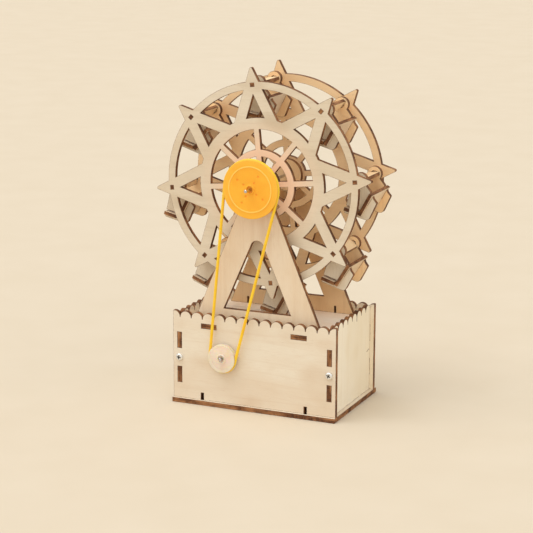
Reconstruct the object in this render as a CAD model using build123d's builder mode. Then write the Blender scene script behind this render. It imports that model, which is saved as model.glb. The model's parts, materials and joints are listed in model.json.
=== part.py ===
from build123d import *
from math import acos, atan2, cos, degrees, hypot, radians, sin, tan
import os

# Crank ferris wheel toy. Millimetres, +Z up, +X to the right, +Y to the back.
# The origin is the centre of the base plate's underside. The front is the side of
# the pulleys, which faces -Y.

# ---------------------------------------------------------------- sheet and fits
ply = 3.0  # plywood sheet of the box, the frames and the wheel
car_ply = 2.2  # thinner sheet of the seats and backrests
fit = 0.05  # gap on each side of a tab in its slot
press_gap = 0.02  # gap round a shaft in a piece that grips it
run_gap = 0.08  # gap round a shaft in a piece that it turns in

# ---------------------------------------------------------------- box
panel_length = 113.0
box_depth = 70.0  # over the front and back panels
box_top = 61.0  # top of the scallops
base_past_ends = 0.2
base_past_faces = 2.0
side_inset = 2.9  # how far the front panel runs past the side panels
scallop_pitch = 7.95  # evened out over each wall
face_end_share = 0.62  # of a scallop, beyond the last notch at a wall's end
side_end_share = 1.0
scallop_rise = 4.0
notch_width = 0.3  # laser cut between two scallops
tab_length = 10.6
deck_below_top = 7.0
deck_tab_in = 20.9  # from a side panel's middle to a deck tab's middle
base_tab_in = 16.1  # from a side panel's middle to a base tab's middle
base_slit_width = 2.0  # slit that lets a base tab spring
base_slit_rise = 4.8  # from the base plate's top
side_tab_height = 10.5
low_side_tab_z = 18.55  # middles of a side panel's two tabs at each end
high_side_tab_drop = 19.45  # from the box's top
side_base_tab_y = -1.0
side_slit_y = 8.0
side_slit_width = 0.5
side_slit_length = 2.0

# ---------------------------------------------------------------- box screws
screw_above_middle = 0.15  # above the middle between the side tabs
screw_shank = 2.0
screw_length = 12.0
screw_tip = 2.0  # length of the point
screw_tip_flat = 0.2
screw_head = 4.8
screw_head_height = 1.6
head_round = 0.9
cross_length = 2.8
cross_width = 0.6
cross_depth = 0.9
bore_past_screw = 0.5

# ---------------------------------------------------------------- A-frames
car_clearance = 5.0  # from the deck to the lowest corner of a car that hangs straight
frame_to_panel = 2.8
foot_to_side = 6.5
frame_top_wall = 4.5  # round the axle
window_sill_rise = 10.3
leg_foot_width = 20.8
window_to_axle = 34.6
window_top_radius = 4.4
frame_tab_in = 12.8  # from a foot's end to its tab's middle
frame_slit_width = 1.2
frame_slit_rise = 4.5

# ---------------------------------------------------------------- wheel
wheel_turn = 5.86  # rest angle, anticlockwise seen from the front
arm_count = 8
wheel_to_frame = 3.4
crossbar_radius = 63.0
star_past_crossbar = 12.4
star_half_angle = 22.5
star_arm_width = 7.0
star_tip_round = 1.0
outer_ring_in = 2.8  # from the crossbars to the ring's inner edge
outer_ring_out = 2.0
middle_ring_in = 2.5  # from where the star's arms meet to the ring's inner edge
middle_ring_out = 4.8
arm_overlap = 0.2  # how far an arm's foot runs in from where the arms meet
small_ring = (18.0, 22.5)
hub_radius = 12.0
spoke_width = 3.7
hub_disc_inset = 1.6
crossbar_end = 2.6
crossbar_middle = 7.3
bar_shoulder_gap = 0.3
broad_side_out = (0, 6, 7)  # crossbars whose broad side faces away from the axle
axle_radius = 1.0
axle_past_pulley = 6.6
spacer_wall = 1.2
spacer_gap = 0.15
sleeve_wall = 1.4
sleeve_length = 4.0
axle_past_sleeve = 0.8

# ---------------------------------------------------------------- pulleys and belt
belt_radius = 0.95
groove_gap = 0.3
large_belt_line = 18.2
small_belt_line = 8.9
pulley_thickness = 3.8
large_rim_out = 0.4  # from the belt's line to the rim
small_rim_out = 0.3
pulley_recess_wall = 1.2  # round the shaft
pulley_bore_depth = 1.2
pulley_collar_wall = 0.9  # round the recess
pulley_collar_height = 0.5
pulley_boss_wall = 3.0  # round the shaft
small_boss_length = 0.2
face_ring_inset = 4.3
face_ring_width = 0.8
face_ring_height = 0.3
dimple_radius = 0.6
dimple_depth = 0.4
dimple_circles = (5.2, 10.2)
dimple_angle = 57.0
boss_gap = 0.4

# ---------------------------------------------------------------- crank
shaft_x = -20.1
shaft_z = 33.75
shaft_radius = 1.0
shaft_past_pulley = 1.6
bush_wall = 1.4
bush_flange_rim = 1.2
bush_flange = 0.8
arm_reach = 20.0
arm_thickness = 3.0
arm_hub_wall = 3.6
arm_end_wall = 2.5
arm_boss = 1.2
arm_gap = 0.4
pin_radius = 1.3
pin_head_rim = 1.2
pin_head = 1.2
knob_wall = 3.3
knob_length = 13.5
knob_gap = 0.3

# ---------------------------------------------------------------- cars
# Across (x) and up (z) from the crossbar's centre, before the car's tilt.
car_tilts = (11.0, 15.0, 14.0, 17.0, 15.0, 22.0, 13.0, 18.0)  # clockwise, at rest
seat_to_wheel = 3.3
seat_past_side = 2.5
car_head_wall = 2.7  # round the hole
bar_play = 0.4  # how much less the hole's radius is than half the bar's two sides
car_bottom = 23.1
car_lobe_foot = 11.7
car_lobe = (14.1, -10.7)
car_lobe_shoulder = (11.5, -8.8)
car_shoulder = (9.3, -5.7)
car_neck = (4.3, -1.8)
car_corner_round = 2.7
car_lobe_round = 0.8
seat_rise = 1.9  # seat's underside above the car's bottom
seat_slot_play = 0.9
seat_to_back = 0.3
back_foot = (6.9, -21.2)
back_lean = 14.4
back_length = 15.4

# ---------------------------------------------------------------- worked-out places
base_length = panel_length + 2 * base_past_ends
base_depth = box_depth + 2 * base_past_faces
panel_inner_y = box_depth / 2 - ply
side_outer_x = panel_length / 2 - side_inset
side_middle_x = side_outer_x - ply / 2
deck_tab_x = side_middle_x - deck_tab_in
base_tab_x = side_middle_x - base_tab_in
base_slit_top = ply + base_slit_rise
side_tab_z = (low_side_tab_z, box_top - high_side_tab_drop)
screw_z = sum(side_tab_z) / 2 + screw_above_middle
deck_top = box_top - deck_below_top
deck_middle_z = deck_top - ply / 2
axle_z = deck_top + car_clearance + car_bottom + crossbar_radius
frame_outer_y = panel_inner_y - frame_to_panel
frame_inner_y = frame_outer_y - ply
frame_foot_half = side_outer_x - ply - foot_to_side
frame_top_radius = axle_radius + frame_top_wall
frame_tab_x = frame_foot_half - frame_tab_in
frame_slit_top = deck_top + frame_slit_rise
window_sill = deck_top + window_sill_rise
window_half = frame_foot_half - leg_foot_width
window_top = axle_z - window_to_axle
wheel_outer_y = frame_inner_y - wheel_to_frame
wheel_inner_y = wheel_outer_y - ply
outer_ring = (crossbar_radius - outer_ring_in, crossbar_radius + outer_ring_out)
star_apex = crossbar_radius + star_past_crossbar
arm_spread = tan(radians(star_half_angle)) / tan(radians(180 / arm_count))
arms_meet = star_apex * arm_spread / (1 + arm_spread)  # radius where the arms' outer edges meet
star_root = arms_meet - arm_overlap
middle_ring = (arms_meet - middle_ring_in, arms_meet + middle_ring_out)
hub_disc_radius = hub_radius - hub_disc_inset
spacer_radius = axle_radius + spacer_wall
sleeve_radius = axle_radius + sleeve_wall
seat_outer_y = wheel_inner_y - seat_to_wheel
car_outer_y = seat_outer_y - seat_past_side
car_inner_y = car_outer_y - ply
crossbar_middle_length = 2 * (car_inner_y - bar_shoulder_gap)
car_hole = (crossbar_end + car_ply) / 2 - bar_play
car_head = car_hole + car_head_wall
seat_slot_height = car_ply + seat_slot_play
seat_back_edge = back_foot[0] - car_ply - seat_to_back
pulley_back = -(box_depth / 2 + bush_flange + boss_gap + small_boss_length)
pulley_front = pulley_back - pulley_thickness
pulley_nose = pulley_front - pulley_collar_height
belt_y = (pulley_front + pulley_back) / 2
belt_groove = belt_radius + groove_gap
large_pulley_radius = large_belt_line + large_rim_out
small_pulley_radius = small_belt_line + small_rim_out
face_ring_radius = large_pulley_radius - face_ring_inset
axle_front_y = pulley_nose - axle_past_pulley
bush_radius = shaft_radius + bush_wall
bush_flange_radius = bush_radius + bush_flange_rim
arm_hub_radius = shaft_radius + arm_hub_wall
arm_end_radius = pin_radius + arm_end_wall
pin_head_radius = pin_radius + pin_head_rim
knob_radius = pin_radius + knob_wall
arm_front = box_depth / 2 + bush_flange + arm_gap
arm_back = arm_front + arm_thickness
knob_front = arm_back + knob_gap
knob_back = knob_front + knob_length
crank_z = shaft_z - arm_reach


def facing(rear_y):
    """Drawing plane that faces the front, X to the right and Z up, at a depth."""
    return Plane.XZ.offset(-rear_y)


def sideways(left_x):
    """Drawing plane that faces right, Y to the right and Z up, at a place on X."""
    return Plane.YZ.offset(left_x)


def polar(radius, angle):
    """Point at a radius and an angle in degrees."""
    return (radius * cos(radians(angle)), radius * sin(radians(angle)))


def tangent_point(centre, radius, point, side):
    """Where a line from a point touches a circle, on its left (1) or right (-1)."""
    across = point[0] - centre[0]
    along = point[1] - centre[1]
    angle = atan2(along, across) + side * acos(radius / hypot(across, along))
    return (centre[0] + radius * cos(angle), centre[1] + radius * sin(angle))


def save(piece, label):
    """Name a finished piece and write it to the parts folder."""
    piece.part.label = label
    export_step(piece.part, f"parts/{label}.step")


# ---------------------------------------------------------------- box panels
def scalloped_sheet(length, bottom, end_share):
    """Sheet with a row of whole scallops on top and a share of one at each end."""
    whole = round(length / scallop_pitch - 2 * end_share)
    pitch = length / (whole + 2 * end_share)
    cusp = box_top - scallop_rise
    first = -(whole / 2 + 1) * pitch
    with BuildSketch() as sheet:
        with BuildLine():
            for k in range(whole + 2):
                left = (first + k * pitch + (notch_width / 2 if k else 0), cusp)
                right = (first + (k + 1) * pitch - (notch_width / 2 if k <= whole else 0), cusp)
                ThreePointArc(left, ((left[0] + right[0]) / 2, box_top), right)
                if k <= whole:
                    Line(right, (right[0] + notch_width, cusp))
            Polyline(right, (right[0], bottom), (-right[0], bottom), (-right[0], cusp))
        make_face()
        with Locations((0, bottom)):
            Rectangle(length, box_top - bottom, align=(Align.CENTER, Align.MIN), mode=Mode.INTERSECT)
    return sheet.sketch


face_outline = scalloped_sheet(panel_length, ply, face_end_share)
side_outline = scalloped_sheet(2 * panel_inner_y, ply, side_end_share)


def face_panel(rear_y):
    """Front or back wall: base tabs, slots for the side and deck tabs, three kinds of hole."""
    with BuildPart() as panel:
        with BuildSketch(facing(rear_y)):
            add(face_outline)
            with Locations((-base_tab_x, 0), (base_tab_x, 0)):
                Rectangle(tab_length, ply, align=(Align.CENTER, Align.MIN))
                Rectangle(base_slit_width, base_slit_top, align=(Align.CENTER, Align.MIN), mode=Mode.SUBTRACT)
            for x in (-side_middle_x, side_middle_x):
                with Locations((x, side_tab_z[0]), (x, side_tab_z[1])):
                    Rectangle(ply + 2 * fit, side_tab_height + 2 * fit, mode=Mode.SUBTRACT)
                with Locations((x, screw_z)):
                    Circle(screw_shank / 2 + run_gap, mode=Mode.SUBTRACT)
            with Locations((-deck_tab_x, deck_middle_z), (deck_tab_x, deck_middle_z)):
                Rectangle(tab_length + 2 * fit, ply + 2 * fit, mode=Mode.SUBTRACT)
            with Locations((shaft_x, shaft_z)):
                Circle(bush_radius + fit, mode=Mode.SUBTRACT)
        extrude(amount=ply)
    return panel


def side_panel(left_x):
    """End wall: two tabs at each end, a base tab, a slit, and a bore in each end for a screw."""
    with BuildPart() as panel:
        with BuildSketch(sideways(left_x)):
            add(side_outline)
            with Locations((side_base_tab_y, 0)):
                Rectangle(tab_length, ply, align=(Align.CENTER, Align.MIN))
            with Locations((side_slit_y, box_top - scallop_rise)):
                Rectangle(
                    side_slit_width, side_slit_length, align=(Align.CENTER, Align.MAX), mode=Mode.SUBTRACT
                )
            for side, align in ((-1, Align.MAX), (1, Align.MIN)):
                end = side * panel_inner_y
                with Locations((end, side_tab_z[0]), (end, side_tab_z[1])):
                    Rectangle(ply, side_tab_height, align=(align, Align.CENTER))
        extrude(amount=ply)
        for side in (-1, 1):
            end_face = (left_x + ply / 2, side * panel_inner_y, screw_z)
            with BuildSketch(Plane(end_face, x_dir=(1, 0, 0), z_dir=(0, side, 0))):
                Circle(screw_shank / 2 + press_gap)
            extrude(amount=-(screw_length - ply + bore_past_screw), mode=Mode.SUBTRACT)
    return panel


with BuildPart() as base_plate:
    with BuildSketch():
        Rectangle(base_length, base_depth)
        panel_middle_y = box_depth / 2 - ply / 2
        with GridLocations(2 * base_tab_x, 2 * panel_middle_y, 2, 2):
            Rectangle(tab_length + 2 * fit, ply + 2 * fit, mode=Mode.SUBTRACT)
        with Locations((-side_middle_x, side_base_tab_y), (side_middle_x, side_base_tab_y)):
            Rectangle(ply + 2 * fit, tab_length + 2 * fit, mode=Mode.SUBTRACT)
    extrude(amount=ply)

front_panel = face_panel(-panel_inner_y)
back_panel = face_panel(box_depth / 2)
left_side_panel = side_panel(-side_outer_x)
right_side_panel = side_panel(side_outer_x - ply)

with BuildPart() as deck_plate:
    with BuildSketch(Plane.XY.offset(deck_top - ply)):
        Rectangle(2 * (side_outer_x - ply) - 2 * fit, 2 * panel_inner_y - 2 * fit)
        with Locations((-deck_tab_x, 0), (deck_tab_x, 0)):
            Rectangle(tab_length, box_depth)
        with GridLocations(2 * frame_tab_x, 2 * (frame_outer_y - ply / 2), 2, 2):
            Rectangle(tab_length + 2 * fit, ply + 2 * fit, mode=Mode.SUBTRACT)
    extrude(amount=ply)


# ---------------------------------------------------------------- box screws
def screw_places():
    """Side (-1 or 1) and X of each of the four screws."""
    return [(side, x) for side in (-1, 1) for x in (-side_middle_x, side_middle_x)]


with BuildPart() as one_screw:
    Cylinder(screw_head / 2, screw_head_height, align=(Align.CENTER, Align.CENTER, Align.MIN))
    fillet(one_screw.edges().sort_by(Axis.Z)[-1], head_round)
    Cylinder(screw_shank / 2, screw_length - screw_tip, align=(Align.CENTER, Align.CENTER, Align.MAX))
    with Locations((0, 0, -screw_length)):
        Cone(screw_tip_flat, screw_shank / 2, screw_tip, align=(Align.CENTER, Align.CENTER, Align.MIN))
    with BuildSketch(Plane.XY.offset(screw_head_height)):
        Rectangle(cross_length, cross_width)
        Rectangle(cross_width, cross_length)
    extrude(amount=-cross_depth, mode=Mode.SUBTRACT)

with BuildPart() as panel_screws:
    for side, x in screw_places():
        head_seat = Plane((x, side * box_depth / 2, screw_z), x_dir=(1, 0, 0), z_dir=(0, side, 0))
        with Locations(head_seat.location):
            add(one_screw.part)


# ---------------------------------------------------------------- A-frames
def a_frame(rear_y):
    """A-shaped frame with a rounded top about the axle, a window and two split feet tabs."""
    axle_centre = (0, axle_z)
    foot = (frame_foot_half, deck_top)
    shoulder = tangent_point(axle_centre, frame_top_radius, foot, 1)
    arch_centre = (0, window_top - window_top_radius)
    sill_end = (window_half, window_sill)
    arch_end = tangent_point(arch_centre, window_top_radius, sill_end, 1)
    with BuildPart() as frame:
        with BuildSketch(facing(rear_y)):
            with BuildLine():
                Polyline((-shoulder[0], shoulder[1]), (-foot[0], foot[1]), foot, shoulder)
                ThreePointArc(shoulder, (0, axle_z + frame_top_radius), (-shoulder[0], shoulder[1]))
            make_face()
            with BuildLine():
                Polyline((-arch_end[0], arch_end[1]), (-sill_end[0], sill_end[1]), sill_end, arch_end)
                ThreePointArc(arch_end, (0, window_top), (-arch_end[0], arch_end[1]))
            make_face(mode=Mode.SUBTRACT)
            with Locations((-frame_tab_x, deck_top), (frame_tab_x, deck_top)):
                Rectangle(tab_length, ply, align=(Align.CENTER, Align.MAX))
            slit_length = frame_slit_top - deck_top + ply
            with Locations((-frame_tab_x, frame_slit_top), (frame_tab_x, frame_slit_top)):
                Rectangle(
                    frame_slit_width, slit_length, align=(Align.CENTER, Align.MAX), mode=Mode.SUBTRACT
                )
            with Locations(axle_centre):
                Circle(axle_radius + run_gap, mode=Mode.SUBTRACT)
        extrude(amount=ply)
    return frame


front_a_frame = a_frame(-frame_inner_y)
rear_a_frame = a_frame(frame_outer_y)


# ---------------------------------------------------------------- wheel plates
def arm_triangle(apex, root, tip_round):
    """Triangle that points along +X, with its sides at the star's half angle."""
    half = (apex - root) * tan(radians(star_half_angle))
    with BuildSketch() as triangle:
        with BuildLine():
            Polyline((apex, 0), (root, half), (root, -half), close=True)
        make_face()
        if tip_round:
            fillet(triangle.vertices().sort_by(Axis.X)[-1], tip_round)
    return triangle.sketch


star_spike = arm_triangle(star_apex, star_root, star_tip_round)
spike_window_apex = star_apex - star_arm_width / sin(radians(star_half_angle))
spike_window = arm_triangle(spike_window_apex, star_root, 0)
arm_start = 90 + wheel_turn


def ring(radii):
    """Flat ring between an inner and an outer radius."""
    with BuildSketch() as band:
        Circle(radii[1])
        Circle(radii[0], mode=Mode.SUBTRACT)
    return band.sketch


wheel_rings = [ring(radii) for radii in (outer_ring, middle_ring, small_ring)]


def crossbar_angle(k):
    """Direction of a crossbar from the axle, from the top one clockwise."""
    return arm_start - k * 360 / arm_count


def bar_hole(k):
    """Radial and tangential size of the hole for a crossbar's end, which fits either way round."""
    wide, thin = crossbar_end + 2 * fit, car_ply + 2 * fit
    return (thin, wide) if k in broad_side_out else (wide, thin)


def wheel_plate(rear_y):
    """Star wheel: eight open spikes, three rings, eight spokes and a hub, cut from one sheet."""
    axle_plane = Plane((0, rear_y, axle_z), x_dir=(1, 0, 0), z_dir=(0, -1, 0))
    with BuildPart() as plate:
        with BuildSketch(axle_plane):
            with PolarLocations(0, arm_count, start_angle=arm_start):
                add(star_spike)
            with PolarLocations(0, arm_count, start_angle=arm_start):
                add(spike_window, mode=Mode.SUBTRACT)
            for band in wheel_rings:
                add(band)
            with PolarLocations(0, arm_count, start_angle=arm_start):
                Rectangle(sum(middle_ring) / 2, spoke_width, align=(Align.MIN, Align.CENTER))
            Circle(hub_radius)
            Circle(axle_radius + press_gap, mode=Mode.SUBTRACT)
            for k in range(arm_count):
                with PolarLocations(crossbar_radius, 1, start_angle=crossbar_angle(k)):
                    Rectangle(*bar_hole(k), mode=Mode.SUBTRACT)
        extrude(amount=ply)
    return plate


def hub_disc(rear_y):
    """Small disc that thickens a wheel plate's hub on the inside."""
    with BuildPart() as disc:
        with BuildSketch(facing(rear_y)):
            with Locations((0, axle_z)):
                Circle(hub_disc_radius)
                Circle(axle_radius + press_gap, mode=Mode.SUBTRACT)
        extrude(amount=ply)
    return disc


front_wheel_plate = wheel_plate(-wheel_inner_y)
rear_wheel_plate = wheel_plate(wheel_outer_y)
front_hub_disc = hub_disc(ply - wheel_inner_y)
rear_hub_disc = hub_disc(wheel_inner_y)


def crossbar_place(k):
    """X and Z of a crossbar's centre, and its angle, from the top one clockwise."""
    angle = crossbar_angle(k)
    x, z = polar(crossbar_radius, angle)
    return x, axle_z + z, angle


with BuildPart() as wheel_crossbars:
    for k in range(arm_count):
        x, z, angle = crossbar_place(k)
        faces = radians(angle if k in broad_side_out else angle - 90)
        broadside = Plane((x, 0, z), x_dir=(0, 1, 0), z_dir=(cos(faces), 0, sin(faces)))
        with BuildSketch(broadside):
            Rectangle(2 * wheel_outer_y, crossbar_end)
            Rectangle(crossbar_middle_length, crossbar_middle)
        extrude(amount=car_ply / 2, both=True)


# ---------------------------------------------------------------- axle and its rings
def tube(front_y, rear_y, radius, bore, centre):
    """Round tube along Y between two depths."""
    with BuildPart() as piece:
        with BuildSketch(facing(rear_y)):
            with Locations(centre):
                Circle(radius)
                if bore:
                    Circle(bore, mode=Mode.SUBTRACT)
        extrude(amount=rear_y - front_y)
    return piece


wheel_centre = (0, axle_z)
sleeve_front = frame_outer_y + spacer_gap
axle_rear_y = sleeve_front + sleeve_length + axle_past_sleeve
axle = tube(axle_front_y, axle_rear_y, axle_radius, 0, wheel_centre)
axle_sleeve = tube(
    sleeve_front, sleeve_front + sleeve_length, sleeve_radius, axle_radius + press_gap, wheel_centre
)

with BuildPart() as axle_spacers:
    for rear_y in (-wheel_outer_y, frame_inner_y - spacer_gap):
        with BuildSketch(facing(rear_y)):
            with Locations(wheel_centre):
                Circle(spacer_radius)
                Circle(axle_radius + press_gap, mode=Mode.SUBTRACT)
        extrude(amount=frame_inner_y - spacer_gap - wheel_outer_y)


# ---------------------------------------------------------------- pulleys
def pulley(centre, rim, belt_line, boss_back, shaft):
    """Grooved pulley with a collar round the shaft in front and a boss behind."""
    recess = shaft + pulley_recess_wall
    disc_plane = Plane((centre[0], pulley_back, centre[1]), x_dir=(1, 0, 0), z_dir=(0, -1, 0))
    with BuildPart() as wheel:
        with BuildSketch(disc_plane):
            Circle(rim)
        extrude(amount=pulley_thickness)
        with BuildSketch(disc_plane):
            Circle(shaft + pulley_boss_wall)
        extrude(amount=pulley_back - boss_back)
        with BuildSketch(disc_plane.offset(pulley_thickness)):
            Circle(recess + pulley_collar_wall)
        extrude(amount=pulley_collar_height)
        with BuildSketch(Plane((centre[0], belt_y, centre[1]), x_dir=(1, 0, 0), z_dir=(0, 0, 1))):
            with Locations((belt_line, 0)):
                Circle(belt_groove)
        revolve(axis=Axis((centre[0], 0, centre[1]), (0, 1, 0)), mode=Mode.SUBTRACT)
        with BuildSketch(disc_plane.offset(pulley_thickness + pulley_collar_height)):
            Circle(recess)
        extrude(amount=-pulley_bore_depth, mode=Mode.SUBTRACT)
        with BuildSketch(disc_plane.offset(pulley_thickness + pulley_collar_height)):
            Circle(shaft + press_gap)
        extrude(until=Until.LAST, mode=Mode.SUBTRACT, dir=(0, 1, 0))
    return wheel


def pulley_face(wheel):
    """Raised ring and moulding dimples on the front of the large pulley."""
    front = Plane((0, pulley_front, axle_z), x_dir=(1, 0, 0), z_dir=(0, -1, 0))
    with BuildPart() as faced:
        add(wheel.part)
        with BuildSketch(front):
            Circle(face_ring_radius + face_ring_width / 2)
            Circle(face_ring_radius - face_ring_width / 2, mode=Mode.SUBTRACT)
        extrude(amount=face_ring_height)
        with BuildSketch(front):
            for radius in dimple_circles:
                with PolarLocations(radius, 4, start_angle=dimple_angle):
                    Circle(dimple_radius)
        extrude(amount=-dimple_depth, mode=Mode.SUBTRACT)
    return faced


shaft_centre = (shaft_x, shaft_z)
plain_large_pulley = pulley(
    wheel_centre, large_pulley_radius, large_belt_line, -frame_outer_y - boss_gap, axle_radius
)
large_pulley = pulley_face(plain_large_pulley)
small_pulley = pulley(
    shaft_centre, small_pulley_radius, small_belt_line, -box_depth / 2 - bush_flange - boss_gap, shaft_radius
)

# ---------------------------------------------------------------- belt
# The belt's line: two straight runs that touch both pulleys, and an arc round each.
run_across = shaft_centre[0] - wheel_centre[0]
run_down = shaft_centre[1] - wheel_centre[1]
centre_line = degrees(atan2(run_down, run_across))
opening = degrees(acos((large_belt_line - small_belt_line) / hypot(run_across, run_down)))
right_side = centre_line + opening
left_side = centre_line - opening


def on_belt(centre, radius, angle):
    """Point of the belt's line on one of its arcs."""
    across, up = polar(radius, angle)
    return (centre[0] + across, centre[1] + up)


with BuildPart() as drive_belt:
    with BuildLine(facing(belt_y)) as belt_line:
        top_right = on_belt(wheel_centre, large_belt_line, right_side)
        top_left = on_belt(wheel_centre, large_belt_line, left_side)
        low_right = on_belt(shaft_centre, small_belt_line, right_side)
        low_left = on_belt(shaft_centre, small_belt_line, left_side)
        Line(low_right, top_right)
        ThreePointArc(top_right, on_belt(wheel_centre, large_belt_line, centre_line + 180), top_left)
        Line(top_left, low_left)
        ThreePointArc(low_left, on_belt(shaft_centre, small_belt_line, centre_line), low_right)
    with BuildSketch(Plane(belt_line.line @ 0, z_dir=belt_line.line % 0)):
        Circle(belt_radius)
    sweep()

# ---------------------------------------------------------------- crank shaft and bushes
crank_shaft = tube(pulley_nose - shaft_past_pulley, arm_back + arm_boss, shaft_radius, 0, shaft_centre)


def shaft_bush(side):
    """Flanged bush in the front (-1) or back (1) panel that the crank shaft turns in."""
    outward = Plane((shaft_x, side * box_depth / 2, shaft_z), x_dir=(1, 0, 0), z_dir=(0, side, 0))
    with BuildPart() as bush:
        with BuildSketch(outward):
            Circle(bush_flange_radius)
        extrude(amount=bush_flange)
        with BuildSketch(outward):
            Circle(bush_radius)
        extrude(amount=-ply)
        with BuildSketch(outward.offset(bush_flange)):
            Circle(shaft_radius + run_gap)
        extrude(amount=-(ply + bush_flange), mode=Mode.SUBTRACT)
    return bush


front_shaft_bush = shaft_bush(-1)
rear_shaft_bush = shaft_bush(1)

# ---------------------------------------------------------------- crank arm, pin and knob
# The arm hangs straight down from the shaft at rest, behind the back panel.
pin_centre = (shaft_x, crank_z)
pin_bore = pin_radius + press_gap
with BuildPart() as crank_arm:
    with BuildSketch(facing(arm_back)):
        with Locations(shaft_centre):
            Circle(arm_hub_radius)
        with Locations(pin_centre):
            Circle(arm_end_radius)
        make_hull()
        with Locations(shaft_centre):
            Circle(shaft_radius + press_gap, mode=Mode.SUBTRACT)
        with Locations(pin_centre):
            Circle(pin_bore, mode=Mode.SUBTRACT)
    extrude(amount=arm_thickness)
    with BuildSketch(facing(arm_back + arm_boss)):
        with Locations(shaft_centre):
            Circle(arm_end_radius)
            Circle(shaft_radius + press_gap, mode=Mode.SUBTRACT)
    extrude(amount=arm_boss)

with BuildPart() as crank_pin:
    with BuildSketch(facing(knob_back + knob_gap)):
        with Locations(pin_centre):
            Circle(pin_radius)
    extrude(amount=knob_back + knob_gap - arm_front)
    with BuildSketch(facing(knob_back + knob_gap + pin_head)):
        with Locations(pin_centre):
            Circle(pin_head_radius)
    extrude(amount=pin_head)

with BuildPart() as crank_knob:
    with BuildSketch(facing(knob_back)):
        with Locations(pin_centre):
            Circle(knob_radius)
    extrude(amount=knob_length)
    fillet(crank_knob.edges().filter_by(GeomType.CIRCLE), knob_radius / 4)
    with BuildSketch(facing(knob_back)):
        with Locations(pin_centre):
            Circle(pin_radius + run_gap)
    extrude(amount=knob_length, mode=Mode.SUBTRACT)


# ---------------------------------------------------------------- cars
seat_underside = seat_rise - car_bottom


def lean_corner(along, inward):
    """Corner of the backrest's section, measured up its outer face and inward from it."""
    lean = radians(back_lean)
    x = back_foot[0] + along * sin(lean) - inward * cos(lean)
    z = back_foot[1] + along * cos(lean) + inward * sin(lean)
    return (x, z)


def lean_strip(start, end, gap):
    """Strip along the backrest's section between two distances up it, widened by a gap."""
    with BuildSketch() as strip:
        with BuildLine():
            Polyline(
                lean_corner(start, -gap),
                lean_corner(end, -gap),
                lean_corner(end, car_ply + gap),
                lean_corner(start, car_ply + gap),
                close=True,
            )
        make_face()
    return strip.sketch


back_section = lean_strip(0, back_length, 0)
back_slot = lean_strip(back_length / 2 - fit, back_length + car_head, fit)
back_notch = lean_strip(-car_ply, back_length / 2 + fit, fit)

with BuildSketch() as car_side_outline:
    with BuildLine():
        Polyline(
            (-car_head, 0),
            (-car_head, -car_bottom),
            (car_lobe_foot, -car_bottom),
            car_lobe,
            car_lobe_shoulder,
            car_shoulder,
            car_neck,
            (0, 0),
            close=True,
        )
    make_face()
    fillet(car_side_outline.vertices().group_by(Axis.Y)[0].sort_by(Axis.X)[-1], car_corner_round)
    fillet(car_side_outline.vertices().sort_by(Axis.X)[-1], car_lobe_round)
    Circle(car_head)
    Circle(car_hole, mode=Mode.SUBTRACT)
    add(back_slot, mode=Mode.SUBTRACT)
    with Locations((-car_head, seat_underside - fit)):
        Rectangle(
            car_head + seat_back_edge + fit,
            seat_slot_height,
            align=(Align.MIN, Align.MIN),
            mode=Mode.SUBTRACT,
        )


def car_plane(k, y):
    """Drawing plane of a car, on its crossbar's centre and turned by its tilt."""
    x, z, _ = crossbar_place(k)
    tilt = radians(car_tilts[k])
    return Plane((x, y, z), x_dir=(cos(tilt), 0, -sin(tilt)), z_dir=(0, -1, 0))


def car_side(k, rear_y):
    """Side plate that hangs on the crossbar's end, slotted for the seat and the back."""
    with BuildPart() as side:
        with BuildSketch(car_plane(k, rear_y)):
            add(car_side_outline.sketch)
        extrude(amount=ply)
    return side


def car_seat(k):
    """Seat board across the two side plates."""
    with BuildPart() as seat:
        with BuildSketch(car_plane(k, seat_outer_y)):
            with Locations((-car_head, seat_underside)):
                Rectangle(car_head + seat_back_edge, car_ply, align=(Align.MIN, Align.MIN))
        extrude(amount=2 * seat_outer_y)
    return seat


def car_back(k):
    """Leaning backrest, notched from below where it straddles the side plates."""
    with BuildPart() as back:
        with BuildSketch(car_plane(k, seat_outer_y)):
            add(back_section)
        extrude(amount=2 * seat_outer_y)
        for rear_y in (-car_inner_y, car_outer_y):
            with BuildSketch(car_plane(k, rear_y + fit)):
                add(back_notch)
            extrude(amount=ply + 2 * fit, mode=Mode.SUBTRACT)
    return back


# ---------------------------------------------------------------- write the pieces
os.makedirs("parts", exist_ok=True)
save(base_plate, "base_plate")
save(front_panel, "front_panel")
save(back_panel, "back_panel")
save(left_side_panel, "left_side_panel")
save(right_side_panel, "right_side_panel")
save(deck_plate, "deck_plate")
save(panel_screws, "panel_screws")
save(front_a_frame, "front_a_frame")
save(rear_a_frame, "rear_a_frame")
save(front_shaft_bush, "front_shaft_bush")
save(rear_shaft_bush, "rear_shaft_bush")
save(drive_belt, "drive_belt")
save(front_wheel_plate, "front_wheel_plate")
save(rear_wheel_plate, "rear_wheel_plate")
save(front_hub_disc, "front_hub_disc")
save(rear_hub_disc, "rear_hub_disc")
save(wheel_crossbars, "wheel_crossbars")
save(axle, "axle")
save(axle_spacers, "axle_spacers")
save(axle_sleeve, "axle_sleeve")
save(large_pulley, "large_pulley")
save(small_pulley, "small_pulley")
save(crank_shaft, "crank_shaft")
save(crank_arm, "crank_arm")
save(crank_pin, "crank_pin")
save(crank_knob, "crank_knob")
for k in range(arm_count):
    save(car_side(k, -car_inner_y), f"car_{k + 1}_front_side")
    save(car_side(k, car_outer_y), f"car_{k + 1}_rear_side")
    save(car_seat(k), f"car_{k + 1}_seat")
    save(car_back(k), f"car_{k + 1}_back")

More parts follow.
